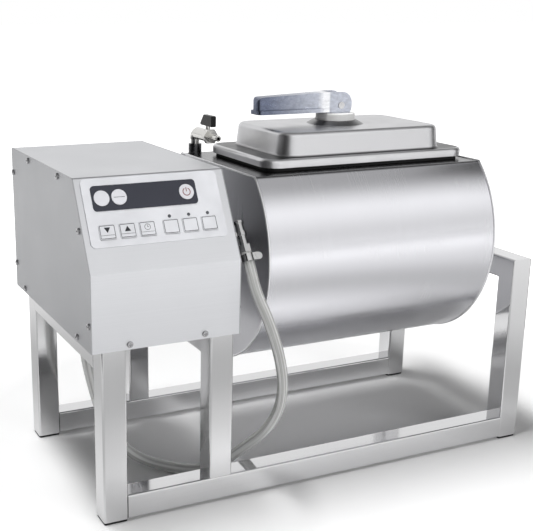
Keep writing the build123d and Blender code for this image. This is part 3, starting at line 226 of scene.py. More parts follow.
class TumblerFinish(bpy.types.PropertyGroup):
    """Colours and surface sizes of the tumbler's materials."""

    tube: colour_prop("Tube steel", "D2D2D3", "Satin stainless tube of the frame")
    sheet: colour_prop("Sheet steel", "DADBDE", "Satin stainless sheet of the housing")
    drum: colour_prop("Drum steel", "DCDCE0", "Brushed stainless sheet of the drum")
    lid: colour_prop("Lid steel", "D9D9DB", "Pressed and polished stainless lid")
    zinc: colour_prop("Zinc plating", "BEC2CD", "Zinc plating at the lever's ears")
    zinc_tip: colour_prop("Zinc tip", "676E82", "Bluish zinc plating at the lever's tip")
    # Painted highlight on the flared neck
    zinc_neck_highlight: colour_prop("Zinc neck", "F4F5F8", "Bright zinc plating where the neck flares")
    nylon: colour_prop("Nylon", "F6F6F5", "White nylon of the clamp's saddle")
    film: colour_prop("Panel film", "DEDFE3", "Matt polyester film of the control panel")
    window: colour_prop("Window", "252733", "Tinted window of the display")
    silver: colour_prop("Silver key", "DEDEE3", "Silver print of the round keys")
    ink: colour_prop("Ink", "35363B", "Dark grey ink of outlines and symbols")
    hose: colour_prop("Hose", "EAEBE9", "Cloudy soft vinyl of the hose")
    black: colour_prop("Black", "101012", "Black moulded plastic")
    grain: FloatProperty(
        name="Grain spacing",
        default=0.9 * MM,
        subtype="DISTANCE",
        unit="LENGTH",
        description="Distance between the brushed lines, drawn coarser than the real 0.1 mm",
    )
    grain_run: FloatProperty(
        name="Grain length",
        default=300 * MM,
        subtype="DISTANCE",
        unit="LENGTH",
        description="Length of the brushed lines",
    )


class TumblerDetail(bpy.types.PropertyGroup):
    """Sizes of the printed marks and the hose."""

    outline: FloatProperty(
        name="Key outline", default=0.6 * MM, unit="LENGTH", description="Width of a key's outline"
    )
    arrow: FloatProperty(
        name="Arrow width", default=7.4 * MM, unit="LENGTH", description="Width of an arrow mark"
    )
    power_radius: FloatProperty(
        name="Power mark", default=4.4 * MM, unit="LENGTH", description="Radius of the power mark"
    )
    clock_radius: FloatProperty(
        name="Clock mark", default=3.6 * MM, unit="LENGTH", description="Radius of the clock mark"
    )
    hose_radius: FloatProperty(
        name="Hose radius", default=6.75 * MM, unit="LENGTH", description="Outer radius of the hose"
    )
    bore_radius: FloatProperty(
        name="Hose bore", default=4.1 * MM, unit="LENGTH", description="Inner radius of the hose"
    )


class TumblerStudio(bpy.types.PropertyGroup):
    """Camera and lamps."""

    lens: FloatProperty(
        name="Lens", default=67.99, unit="CAMERA", description="Focal length in millimetres"
    )
    place: FloatVectorProperty(
        name="Camera place",
        default=(-0.6502, -1.1512, 0.5972),
        subtype="TRANSLATION",
        description="Where the camera stands, in metres",
    )
    shift: FloatVectorProperty(
        name="Shift", size=2, default=(0.1165, 0.0124), description="Lens shift across and up"
    )
    key_power: FloatProperty(name="Key lamp", default=62.0, unit="POWER", description="Front lamp")
    top_power: FloatProperty(name="Top lamp", default=127.0, unit="POWER", description="Top lamp")


def settings():
    """The scene's three groups of settings."""
    scene = bpy.context.scene
    return scene.tumbler_finish, scene.tumbler_detail, scene.tumbler_studio


def add_node(tree, kind, inputs=None, **options):
    """Add one node with its options, and set or link its inputs."""
    made = tree.nodes.new(kind)
    for name, value in options.items():
        setattr(made, name, value)
    for name, value in (inputs or {}).items():
        socket = made.inputs[name]
        if isinstance(value, bpy.types.NodeSocket):
            tree.links.new(value, socket)
        else:
            socket.default_value = value
    return made


def new_material(name):
    """Make an empty material and return it with its tree, shader and output."""
    material = bpy.data.materials.new(name)
    material.use_nodes = True
    tree = material.node_tree
    tree.nodes.clear()
    shader = add_node(tree, "ShaderNodeBsdfPrincipled")
    add_node(tree, "ShaderNodeOutputMaterial", {"Surface": shader.outputs["BSDF"]})
    return material, tree, shader


def noise(tree, spacing, detail=2.0, rough=0.5):
    """Noise with a feature size in metres along X, Y and Z."""
    coordinates = add_node(tree, "ShaderNodeTexCoord")
    scaled = add_node(
        tree,
        "ShaderNodeMapping",
        {"Vector": coordinates.outputs["Object"], "Scale": tuple(1 / step for step in spacing)},
        vector_type="POINT",
    )
    made = add_node(
        tree,
        "ShaderNodeTexNoise",
        {"Vector": scaled.outputs["Vector"], "Scale": 1.0, "Detail": detail, "Roughness": rough},
    )
    return made.outputs["Fac"]


def position(tree):
    """Object coordinates, split into X, Y and Z."""
    coordinates = add_node(tree, "ShaderNodeTexCoord")
    return add_node(
        tree, "ShaderNodeSeparateXYZ", {"Vector": coordinates.outputs["Object"]}
    ).outputs


def measure(tree, steps):
    """Put object coordinates through vector steps, and measure the length of the result."""
    vector = add_node(tree, "ShaderNodeTexCoord").outputs["Object"]
    for operation, *values in steps:
        inputs = {0: vector, **dict(enumerate(values, 1))}
        made = add_node(tree, "ShaderNodeVectorMath", inputs, operation=operation)
        vector = made.outputs["Vector"]
    length = add_node(tree, "ShaderNodeVectorMath", {0: vector}, operation="LENGTH")
    return length.outputs["Value"]


def grade(tree, value, first, second, start=NOISE_LOW, end=NOISE_HIGH, most=1.0):
    """Go from one colour towards another while a value goes from a start to an end."""
    share = add_node(
        tree,
        "ShaderNodeMapRange",
        {"Value": value, "From Min": start, "From Max": end, "To Max": most},
    )
    mixed = add_node(
        tree,
        "ShaderNodeMix",
        {"Factor": share.outputs["Result"], "A": first, "B": second},
        data_type="RGBA",
    )
    return mixed.outputs["Result"]


def shade(colour, factor):
    """A colour made darker or lighter by a factor."""
    return (*[min(1.0, channel * factor) for channel in colour[:3]], 1.0)


def dress(tree, shader, tone, pattern, rough, relief=None, depth=0.0):
    """Give a shader its tone, a roughness that follows a pattern, and fine relief."""
    roughness = add_node(
        tree,
        "ShaderNodeMapRange",
        {
            "Value": pattern,
            "From Min": NOISE_LOW,
            "From Max": NOISE_HIGH,
            "To Min": rough[0],
            "To Max": rough[1],
        },
    )
    tree.links.new(tone, shader.inputs["Base Color"])
    tree.links.new(roughness.outputs["Result"], shader.inputs["Roughness"])
    if relief is not None:
        bump = add_node(
            tree, "ShaderNodeBump", {"Strength": depth, "Distance": RELIEF, "Height": relief}
        )
        tree.links.new(bump.outputs["Normal"], shader.inputs["Normal"])


def brushed_steel(name, colour, run_axes, roughness, depth=0.012):
    """Stainless steel ground with a belt: fine parallel lines that blur every reflection."""
    finish = settings()[0]
    contrast = 0.018
    drift = 0.02
    spacing = [finish.grain_run if axis in run_axes else finish.grain for axis in range(3)]
    material, tree, shader = new_material(name)
    lines = noise(tree, spacing, detail=3.0, rough=0.6)
    clouds = noise(tree, (70 * MM,) * 3)
    tone = grade(tree, lines, shade(colour, 1 - contrast), shade(colour, 1 + contrast))
    # The range of the lines' roughness drifts a little over a hand's width
    rough = [
        add_node(
            tree,
            "ShaderNodeMapRange",
            {
                "Value": clouds,
                "From Min": NOISE_LOW,
                "From Max": NOISE_HIGH,
                "To Min": end - drift,
                "To Max": end + drift,
            },
        ).outputs["Result"]
        for end in (roughness - drift, roughness + drift)
    ]
    dress(tree, shader, tone, lines, rough, lines, depth)
    shader.inputs["Metallic"].default_value = 1.0
    return material


def polished_metal(name, colour, roughness):
    """Turned and polished metal: clear reflections with faint smears from handling."""
    wear = 0.03
    material, tree, shader = new_material(name)
    smears = noise(tree, (12 * MM,) * 3, detail=3.0)
    tooth = noise(tree, (0.8 * MM,) * 3)
    tone = grade(tree, smears, shade(colour, 0.95), colour)
    dress(tree, shader, tone, smears, (roughness - wear, roughness + wear), tooth, 0.03)
    shader.inputs["Metallic"].default_value = 1.0
    return material


def moulded_plastic(name, colour, roughness, grit=0.6 * MM, depth=0.12, gloss=0.5):
    """Moulded plastic or rubber: one colour with the fine grit of an eroded mould."""
    material, tree, shader = new_material(name)
    grains = noise(tree, (grit,) * 3)
    clouds = noise(tree, (30 * MM,) * 3)
    tone = grade(tree, clouds, shade(colour, 0.93), shade(colour, 1.05))
    dress(tree, shader, tone, grains, (roughness - 0.05, roughness + 0.05), grains, depth)
    shader.inputs["Specular IOR Level"].default_value = gloss
    return material


def zinc_plating():
    """Blue zinc plating on stamped steel: mottled patches where the bath etched the sheet, darker
    towards the tip, and a painted highlight on the flared neck.
    """
    finish = settings()[0]
    material, tree, shader = new_material("blue_zinc_plating")
    along = position(tree)["X"]
    # Darker towards the tip than at the ears, and a painted highlight on the flared neck
    tip, neck, ear = (linear(code) for code in (finish.zinc_tip, finish.zinc_neck_highlight, finish.zinc))
    body = grade(tree, along, tip, ear, TIP_END, NECK_START)
    with_neck_highlight = grade(tree, along, body, neck, NECK_START - 3 * MM, NECK_START + 5 * MM)
    plated = grade(tree, along, with_neck_highlight, ear, NECK_END - 2 * MM, NECK_END)
    patches = noise(tree, (7 * MM, 7 * MM, 3.5 * MM), detail=5.0, rough=0.65)
    mottle = grade(tree, patches, (0.8, 0.8, 0.8, 1.0), (1.12, 1.12, 1.12, 1.0))
    mottled = add_node(
        tree,
        "ShaderNodeMix",
        {"Factor": 1.0, "A": plated, "B": mottle},
        data_type="RGBA",
        blend_type="MULTIPLY",
    ).outputs["Result"]
    specks = noise(tree, (1.1 * MM, 1.1 * MM, 0.9 * MM), detail=3.0, rough=0.6)
    tone = grade(tree, specks, mottled, linear("F2F5FA"), 0.5, 0.75, most=0.12)
    dress(tree, shader, tone, patches, (0.36, 0.26), specks, 0.06)
    shader.inputs["Metallic"].default_value = 0.9
    return material


def vinyl_hose():
    """Clear soft vinyl gone cloudy: light passes through its wall and shines along the edges, with
    painted streaks of highlight and shade along its length.
    """
    colour = linear(settings()[0].hose)
    material, tree, shader = new_material("soft_vinyl_hose")
    clouds = noise(tree, (20 * MM,) * 3, detail=3.0)
    # Painted highlights and painted shade: light and dark streaks run along the tube, at fixed
    # places round it
    round_tube = add_node(
        tree,
        "ShaderNodeMapping",
        {"Vector": add_node(tree, "ShaderNodeTexCoord").outputs["UV"], "Scale": (2.0, 11.0, 1.0)},
    )
    lines = add_node(
        tree,
        "ShaderNodeTexNoise",
        {"Vector": round_tube.outputs["Vector"], "Scale": 1.0, "Detail": 2.0},
    )
    dark, light = shade(colour, 0.7), shade(colour, 1.3)
    tone = grade(tree, lines.outputs["Fac"], dark, light, 0.43, 0.57)
    dress(tree, shader, tone, clouds, (0.08, 0.16))
    shader.inputs["Transmission Weight"].default_value = 0.55
    shader.inputs["IOR"].default_value = 1.5
    return material


def hose_lining():
    """The hose's inner wall: cloudy vinyl that scatters the light behind the clear outside."""
    colour = linear(settings()[0].hose)
    material, tree, shader = new_material("cloudy_vinyl_lining")
    clouds = noise(tree, (16 * MM,) * 3, detail=3.0)
    dress(tree, shader, grade(tree, clouds, shade(colour, 0.8), colour), clouds, (0.25, 0.4))
    return material


def paint(names, material):
    """Give CAD nodes a material."""
    for name in names:
        data = NODES[name].data
        data.materials.clear()
        data.materials.append(material)


def add_object(name, data, body=None):
    """Put an object in the scene, and let it ride on a body where one is named."""
    piece = bpy.data.objects.new(name, data)
    bpy.context.scene.collection.objects.link(piece)
    if body:
        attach(piece, body)
    return piece


def round_curve(name, kind, places, radius, material):
    """Draw a round bar along a line of places, and return its curve and spline."""
    curve = bpy.data.curves.new(name, "CURVE")
    curve.dimensions = "3D"
    curve.bevel_depth = radius
    spline = curve.splines.new(kind)
    spline.points.add(len(places) - 1)
    for point, place in zip(spline.points, places):
        point.co = (*place, 1.0)
    spline.use_smooth = True
    curve.materials.append(material)
    return curve, spline


def slab(mesh, origin, outline, hole=None):
    """Raise a flat outline, given in panel coordinates, into a thin slab on the panel."""
    rings = []
    for loop in filter(None, (outline, hole)):
        low = [
            mesh.verts.new(origin + PANEL_ACROSS * x + PANEL_UP * y - PANEL_OUT * MARK_OVERLAP)
            for x, y in loop
        ]
        rise = PANEL_OUT * (MARK_HEIGHT + MARK_OVERLAP)
        high = [mesh.verts.new(vertex.co + rise) for vertex in low]
        rings.append((low, high))
        for i in range(len(loop)):
            j = (i + 1) % len(loop)
            mesh.faces.new((low[i], low[j], high[j], high[i]))
    if hole is None:
        mesh.faces.new(rings[0][0])
        mesh.faces.new(rings[0][1])
        return
    for outer, inner in zip(*rings):
        for i in range(len(outer)):
            j = (i + 1) % len(outer)
            mesh.faces.new((outer[i], outer[j], inner[j], inner[i]))


def rounded_outline(width, height, radius, steps=6):
    """Points round a rectangle with rounded corners."""
    points = []
    for corner, (sx, sy) in enumerate(((1, 1), (-1, 1), (-1, -1), (1, -1))):
        centre_x = sx * (width / 2 - radius)
        centre_y = sy * (height / 2 - radius)
        for step in range(steps + 1):
            angle = math.radians(90 * corner + 90 * step / steps)
            points.append(
                (centre_x + radius * math.cos(angle), centre_y + radius * math.sin(angle))
            )
    return points


def circle_outline(radius, steps=48):
    """Points round a circle."""
    turns = [2 * math.pi * step / steps for step in range(steps)]
    return [(radius * math.cos(turn), radius * math.sin(turn)) for turn in turns]


def arc_band(radius, width, start, end, steps=40):
    """Points of a band that follows an arc, from a start to an end angle in degrees."""
    turns = [math.radians(start + (end - start) * step / steps) for step in range(steps + 1)]
    outer, inner = (
        [(edge * math.cos(turn), edge * math.sin(turn)) for turn in turns]
        for edge in (radius + width / 2, radius - width / 2)
    )
    return outer + inner[::-1]


def raised(points, rise):
    """Shift outline points up the panel."""
    return [(x, y + rise) for x, y in points]


def print_mark(name, key, ink, outline, hole=None):
    """Print a mark on the middle of a key's top, as a thin layer that rides with the key."""
    low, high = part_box(key)
    half = ROUND_KEY_HALF if key in ROUND_KEYS else SQUARE_KEY_HALF
    mesh = bmesh.new()
    slab(mesh, (low + high) / 2 + PANEL_OUT * half, outline, hole)
    bmesh.ops.recalc_face_normals(mesh, faces=mesh.faces)
    data = bpy.data.meshes.new(name)
    mesh.to_mesh(data)
    mesh.free()
    data.materials.append(ink)
    add_object(name, data, key.replace("_key", "_button"))


class TUMBLER_OT_frame(bpy.types.Operator):
    """Finish the frame's tubes and feet."""

    bl_idname = "tumbler.frame"
    bl_label = "Frame"

    def execute(self, context):
        finish = settings()[0]
        colour = linear(finish.tube)
        # Welded square tube in stainless steel, ground along each tube's length
        for axis, names in enumerate((FRAME_ALONG_X, FRAME_ALONG_Y, FRAME_ALONG_Z)):
            steel = brushed_steel(f"ground_stainless_tube_{'xyz'[axis]}", colour, [axis], 0.1)
            paint(names, steel)
        # Natural rubber pads: dull, and too dark to show their grain
        paint(["foot_pads"], moulded_plastic("black_rubber", linear("121213"), 0.8, depth=0.2))
        return {"FINISHED"}


class TUMBLER_OT_housing(bpy.types.Operator):
    """Finish the housing, its screws and what is inside it."""

    bl_idname = "tumbler.housing"
    bl_label = "Housing"

    def execute(self, context):
        finish = settings()[0]
        colour = linear(finish.sheet)
        # Stainless sheet with a fine satin grain that runs across the folded cover
        paint(["housing_cover"], brushed_steel("satin_stainless_cover", colour, [0], 0.4))
        # The same sheet, with its grain from front to back on the side panels, and darker there:
        # painted shade on the sides
        sides = brushed_steel("satin_stainless_side_painted_shade", shade(colour, 0.57), [1], 0.4)
        paint(["left_side_panel", "right_side_panel", "base_tray"], sides)
        # Cold-headed stainless screws, bright from tumbling
        paint(["panel_screws"], polished_metal("bright_stainless_screw", linear("B4B4B6"), 0.14))
        # Inside, out of sight: plated bracket, enamelled motor, cast pump and lacquered board
        paint(["drive_bracket"], polished_metal("plated_bracket_steel", linear("A6ABB3"), 0.34))
        paint(["gear_motor"], moulded_plastic("dark_motor_enamel", linear("2A2D33"), 0.4))
        paint(["vacuum_pump"], polished_metal("cast_pump_aluminium", linear("A9ABAE"), 0.45))
        paint(["control_board"], moulded_plastic("green_solder_mask", linear("1F5A34"), 0.35))
        # ABS with a fine grit: a soft black sheen
        black = moulded_plastic("black_abs", linear(finish.black), 0.42)
        paint(["power_inlet", "hose_gland"], black)
        return {"FINISHED"}


class TUMBLER_OT_panel(bpy.types.Operator):
    """Finish the control panel, and print outlines and symbols on its keys."""

    bl_idname = "tumbler.panel"
    bl_label = "Control panel"

    def execute(self, context):
        finish, detail, _ = settings()
        # Screen-printed polyester film: matt, with a very fine tooth
        film = moulded_plastic(
            "matt_polyester_film", linear(finish.film), 0.5, grit=0.5 * MM, depth=0.04
        )
        paint(["control_overlay"], film)
        paint(SQUARE_KEYS, film)
        # Tinted polycarbonate window: dark, smooth and faintly shiny
        tint = moulded_plastic(
            "tinted_polycarbonate", linear(finish.window), 0.22, grit=2 * MM, depth=0.01
        )
        paint(["display_window"], tint)
        # Silver print under film: pale with a soft metallic lift
        silver = moulded_plastic(
            "silver_print", linear(finish.silver), 0.34, grit=0.5 * MM, depth=0.05
        )
        paint(ROUND_KEYS, silver)
        # Unlit lamp lenses of smoked acrylic
        smoked = moulded_plastic(
            "smoked_acrylic_lens", linear("4B4D52"), 0.12, grit=2 * MM, depth=0.01
        )
        paint(["indicator_lamps"], smoked)
        # Printing ink: thin, dense and dull
        ink = moulded_plastic("grey_printing_ink", linear(finish.ink), 0.55, depth=0.02)
        dark_ink = moulded_plastic("black_printing_ink", linear("222328"), 0.5, depth=0.02)
        brown_ink = moulded_plastic("brown_printing_ink", linear("7E4A48"), 0.5, depth=0.02)
        self.outlines(ink, detail)
        self.arrows(dark_ink, detail)
        self.clock(ink, detail)
        self.power(brown_ink, detail)
        return {"FINISHED"}

    def outlines(self, ink, detail):
        """Print a rounded outline on each square key, and a rule under each symbol."""
        line = detail.outline
        for name in SQUARE_KEYS:
            low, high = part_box(name)
            width = high.x - low.x - 2 * OUTLINE_INSET
            height = SQUARE_KEY_HEIGHT - 2 * OUTLINE_INSET
            outer = rounded_outline(width, height, OUTLINE_CORNER)
            inner = rounded_outline(width - 2 * line, height - 2 * line, INSIDE_CORNER)
            print_mark(f"{name}_outline", name, ink, outer, inner)
        rule = raised(rounded_outline(*SQUARE_KEY_RULE, steps=2), -RULE_DROP)
        for name in SQUARE_KEYS[:3]:
            print_mark(f"{name}_rule", name, ink, rule)
        rule = rounded_outline(*ROUND_KEY_RULE, steps=2)
        print_mark("middle_round_key_rule", "middle_round_key", ink, rule)

    def arrows(self, ink, detail):
        """Print a filled triangle on the down key and on the up key."""
        half = detail.arrow / 2
        for way, name in ((-1, "down"), (1, "up")):
            tall = way * detail.arrow * ARROW_HALF_HEIGHT
            outline = raised([(-half, -tall), (half, -tall), (0.0, tall)], ARROW_LIFT)
            print_mark(f"{name}_arrow", f"{name}_key", ink, outline)

    def clock(self, ink, detail):
        """Print a clock face with two hands on the timer key."""
        radius = detail.clock_radius
        face = raised(circle_outline(radius), CLOCK_LIFT)
        inside = raised(circle_outline(radius - CLOCK_LINE), CLOCK_LIFT)
        print_mark("clock_ring", "timer_key", ink, face, inside)
        reach = radius * LONG_HAND
        side = reach * SHORT_HAND
        thin = HAND_HALF_LINE
        hands = [
            (-thin, reach),
            (-thin, -thin),
            (side, -thin),
            (side, thin),
            (thin, thin),
            (thin, reach),
        ]
        print_mark("clock_hands", "timer_key", ink, raised(hands, CLOCK_LIFT))

    def power(self, ink, detail):
        """Print a power mark, a broken ring with a bar, on the power key."""
        radius = detail.power_radius
        print_mark("power_ring", "power_key", ink, arc_band(radius, POWER_LINE, *POWER_ARC))
        length = radius * POWER_BAR_LENGTH
        bar = rounded_outline(POWER_LINE, length, POWER_BAR_CORNER, steps=3)
        print_mark("power_bar", "power_key", ink, raised(bar, radius * POWER_BAR_LIFT))


class TUMBLER_OT_drum(bpy.types.Operator):
    """Finish the drum, its shafts and bearings."""

    bl_idname = "tumbler.drum"
    bl_label = "Drum"

    def execute(self, context):
        finish = settings()[0]
        colour = linear(finish.drum)
        # Stainless sheet brushed round the drum, so that reflections draw out along its length
        shell = brushed_steel("brushed_stainless_drum", colour, [1, 2], 0.25, depth=0.003)
        # Painted shade on the flat side round the lid
        self.shade_flat_side(shell, colour)
        paint(["drum_shell"], shell)
        # Weld beads ground smooth: they catch a soft bright line
        bead = polished_metal("polished_weld_bead", linear("F6F6F8"), 0.45)
        low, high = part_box("drum_shell")
        for name, place in (("left_seam_bead", low.x), ("right_seam_bead", high.x)):
            self.seam(name, place, high.y, bead)
        # End plates of the same sheet, with the grain upright
        ends = brushed_steel("brushed_stainless_end", shade(colour, 0.9), [2], 0.3)
        paint(["drum_left_end", "drum_right_end", "tumbling_baffles"], ends)
        # Turned shafts, bright from the lathe
        turned = polished_metal("turned_stainless_shaft", linear("CFCFD0"), 0.2)
        paint(["drive_shaft", "tail_shaft", "shaft_coupling"], turned)
        # Cast iron bearing blocks under silver grey paint, slightly pebbled
        cast = moulded_plastic(
            "painted_cast_iron", linear("9A9DA2"), 0.42, grit=1.6 * MM, depth=0.35
        )
        paint(["drive_bearing", "tail_bearing"], cast)
        return {"FINISHED"}

    def shade_flat_side(self, material, colour):
        """Paint shade on the drum's flat side round the lid."""
        tree = material.node_tree
        shader = tree.nodes["Principled BSDF"]
        polished = shader.inputs["Base Color"].links[0].from_socket
        flat = DRUM_AXIS + DRUM_FLAT
        height = position(tree)["Z"]
        # Painted shade: the flat side goes to a fifth of the steel's colour
        painted_shade = shade(colour, 0.19)
        tone = grade(tree, height, polished, painted_shade, flat - 2.0 * MM, flat - 0.4 * MM)
        tree.links.new(tone, shader.inputs["Base Color"])

    def seam(self, name, place, radius, material):
        """Draw the polished weld bead round one end of the D-shaped shell."""
        cut = math.asin(DRUM_FLAT / radius)
        start = math.pi - cut
        sweep = math.pi + 2 * cut
        turns = [start + sweep * step / SEAM_STEPS for step in range(SEAM_STEPS + 1)]
        places = [
            (place, radius * math.cos(turn), DRUM_AXIS + radius * math.sin(turn))
            for turn in turns
        ]
        curve, spline = round_curve(name, "POLY", places, SEAM_RADIUS, material)
        curve.bevel_resolution = 3
        spline.use_cyclic_u = True
        add_object(name, curve, "drum")


class TUMBLER_OT_lid(bpy.types.Operator):
    """Finish the lid, its gasket and the clamp."""

    bl_idname = "tumbler.lid"
    bl_label = "Lid and clamp"

    def execute(self, context):
        finish = settings()[0]
        paint(["lid_pan"], self.lid_steel(finish))
        # Silicone gasket in black: dull, it only shows as a dark line
        paint(["lid_gasket"], moulded_plastic("black_silicone", linear("161617"), 0.7))
        # Turned nylon: white and waxy
        nylon = moulded_plastic("turned_nylon", linear(finish.nylon), 0.38, depth=0.03)
        paint(["clamp_saddle"], nylon)
        # Bright drawn rod: a narrow gleam along each bar
        bright = polished_metal("bright_stainless_rod", linear("C9C9CA"), 0.22)
        paint(["clamp_stud", "clamp_crossbar", "lever_pin"], bright)
        paint(["cam_lever"], zinc_plating())
        return {"FINISHED"}

    def lid_steel(self, finish):
        """Deep-drawn stainless steel, polished after pressing, with painted shade on the flange at
        its foot and in a ring round the saddle.
        """
        material, tree, shader = new_material("pressed_stainless_lid")
        steel = linear(finish.lid)
        low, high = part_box("lid_pan")
        # How far a place lies past the middles of the rounded corners, seen from above
        edge = measure(
            tree,
            (
                ("SUBTRACT", tuple((low + high) / 2)),
                ("ABSOLUTE",),
                ("SUBTRACT", tuple((high - low) / 2)),
                ("MULTIPLY_ADD", (1.0, 1.0, 0.0), (LID_CORNER, LID_CORNER, 0.0)),
                ("MAXIMUM", (0.0, 0.0, 0.0)),
            ),
        )
        # Painted shade on the flat flange in the recess between the rolled rim and the dome
        painted_shade = shade(steel, 0.18)
        rim = grade(tree, edge, painted_shade, steel, LID_CORNER - 5.5 * MM, LID_CORNER - 4.0 * MM)
        foot = low.z + FLANGE_RISE
        polished = grade(tree, position(tree)["Z"], rim, steel, foot, foot + 2.5 * MM)
        # Painted shade: a dark ring on the sloping boss round the nylon saddle
        low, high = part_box("clamp_saddle")
        seat = (low + high) / 2
        spoke = measure(
            tree, (("SUBTRACT", (seat.x, seat.y, 0.0)), ("MULTIPLY", (1.0, 1.0, 0.0)))
        )
        ring_shade = shade(steel, 0.38)
        ring = (BOSS_RADIUS - 1.5 * MM, BOSS_RADIUS + 0.5 * MM)
        tone = grade(tree, spoke, ring_shade, polished, *ring)
        smears = noise(tree, (25 * MM,) * 3, detail=3.0)
        dress(tree, shader, tone, smears, (0.34, 0.4))
        shader.inputs["Metallic"].default_value = 1.0
        return material


class TUMBLER_OT_valve(bpy.types.Operator):
    """Finish the vacuum valve."""

    bl_idname = "tumbler.valve"
    bl_label = "Valve"

    def execute(self, context):
        finish = settings()[0]
        # Turned and polished stainless fittings: nearly a mirror
        paint(
            ["valve_elbow", "valve_body", "valve_nozzle", "valve_ball"],
            polished_metal("polished_stainless_fitting", linear("D2D1CE"), 0.1),
        )
        # Moulded nylon: a deep black with a weak sheen
        black = moulded_plastic(
            "black_nylon_handle", linear("0A0A0C"), 0.28, depth=0.05, gloss=0.25
        )
        paint(["valve_handle"], black)
        return {"FINISHED"}


class TUMBLER_OT_hose(bpy.types.Operator):
    """Draw the hose along its route, and finish its connector and clamp."""

    bl_idname = "tumbler.hose"
    bl_label = "Hose"

    def execute(self, context):
        detail = settings()[1]
        hose = self.tube("vacuum_tube", detail.hose_radius, vinyl_hose())
        lining = self.tube("vacuum_tube_lining", detail.bore_radius, hose_lining())
        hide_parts("vacuum_hose")
        # Nickel plated brass connector and steel band: hard, bright reflections
        plated = polished_metal("nickel_plated_brass", linear("D8D8D8"), 0.07)
        paint(["hose_connector", "hose_clamp", "connector_clip"], plated)
        return {"FINISHED"}

    def tube(self, name, radius, material):
        """Draw a round tube along a smooth line through the hose's route, from the gland on."""
        curve, spline = round_curve(name, "NURBS", HOSE_ROUTE[::-1], radius, material)
        curve.bevel_resolution = 8
        curve.use_fill_caps = True
        curve.resolution_u = 16
        spline.order_u = 3
        spline.use_endpoint_u = True
        return add_object(name, curve, "frame")


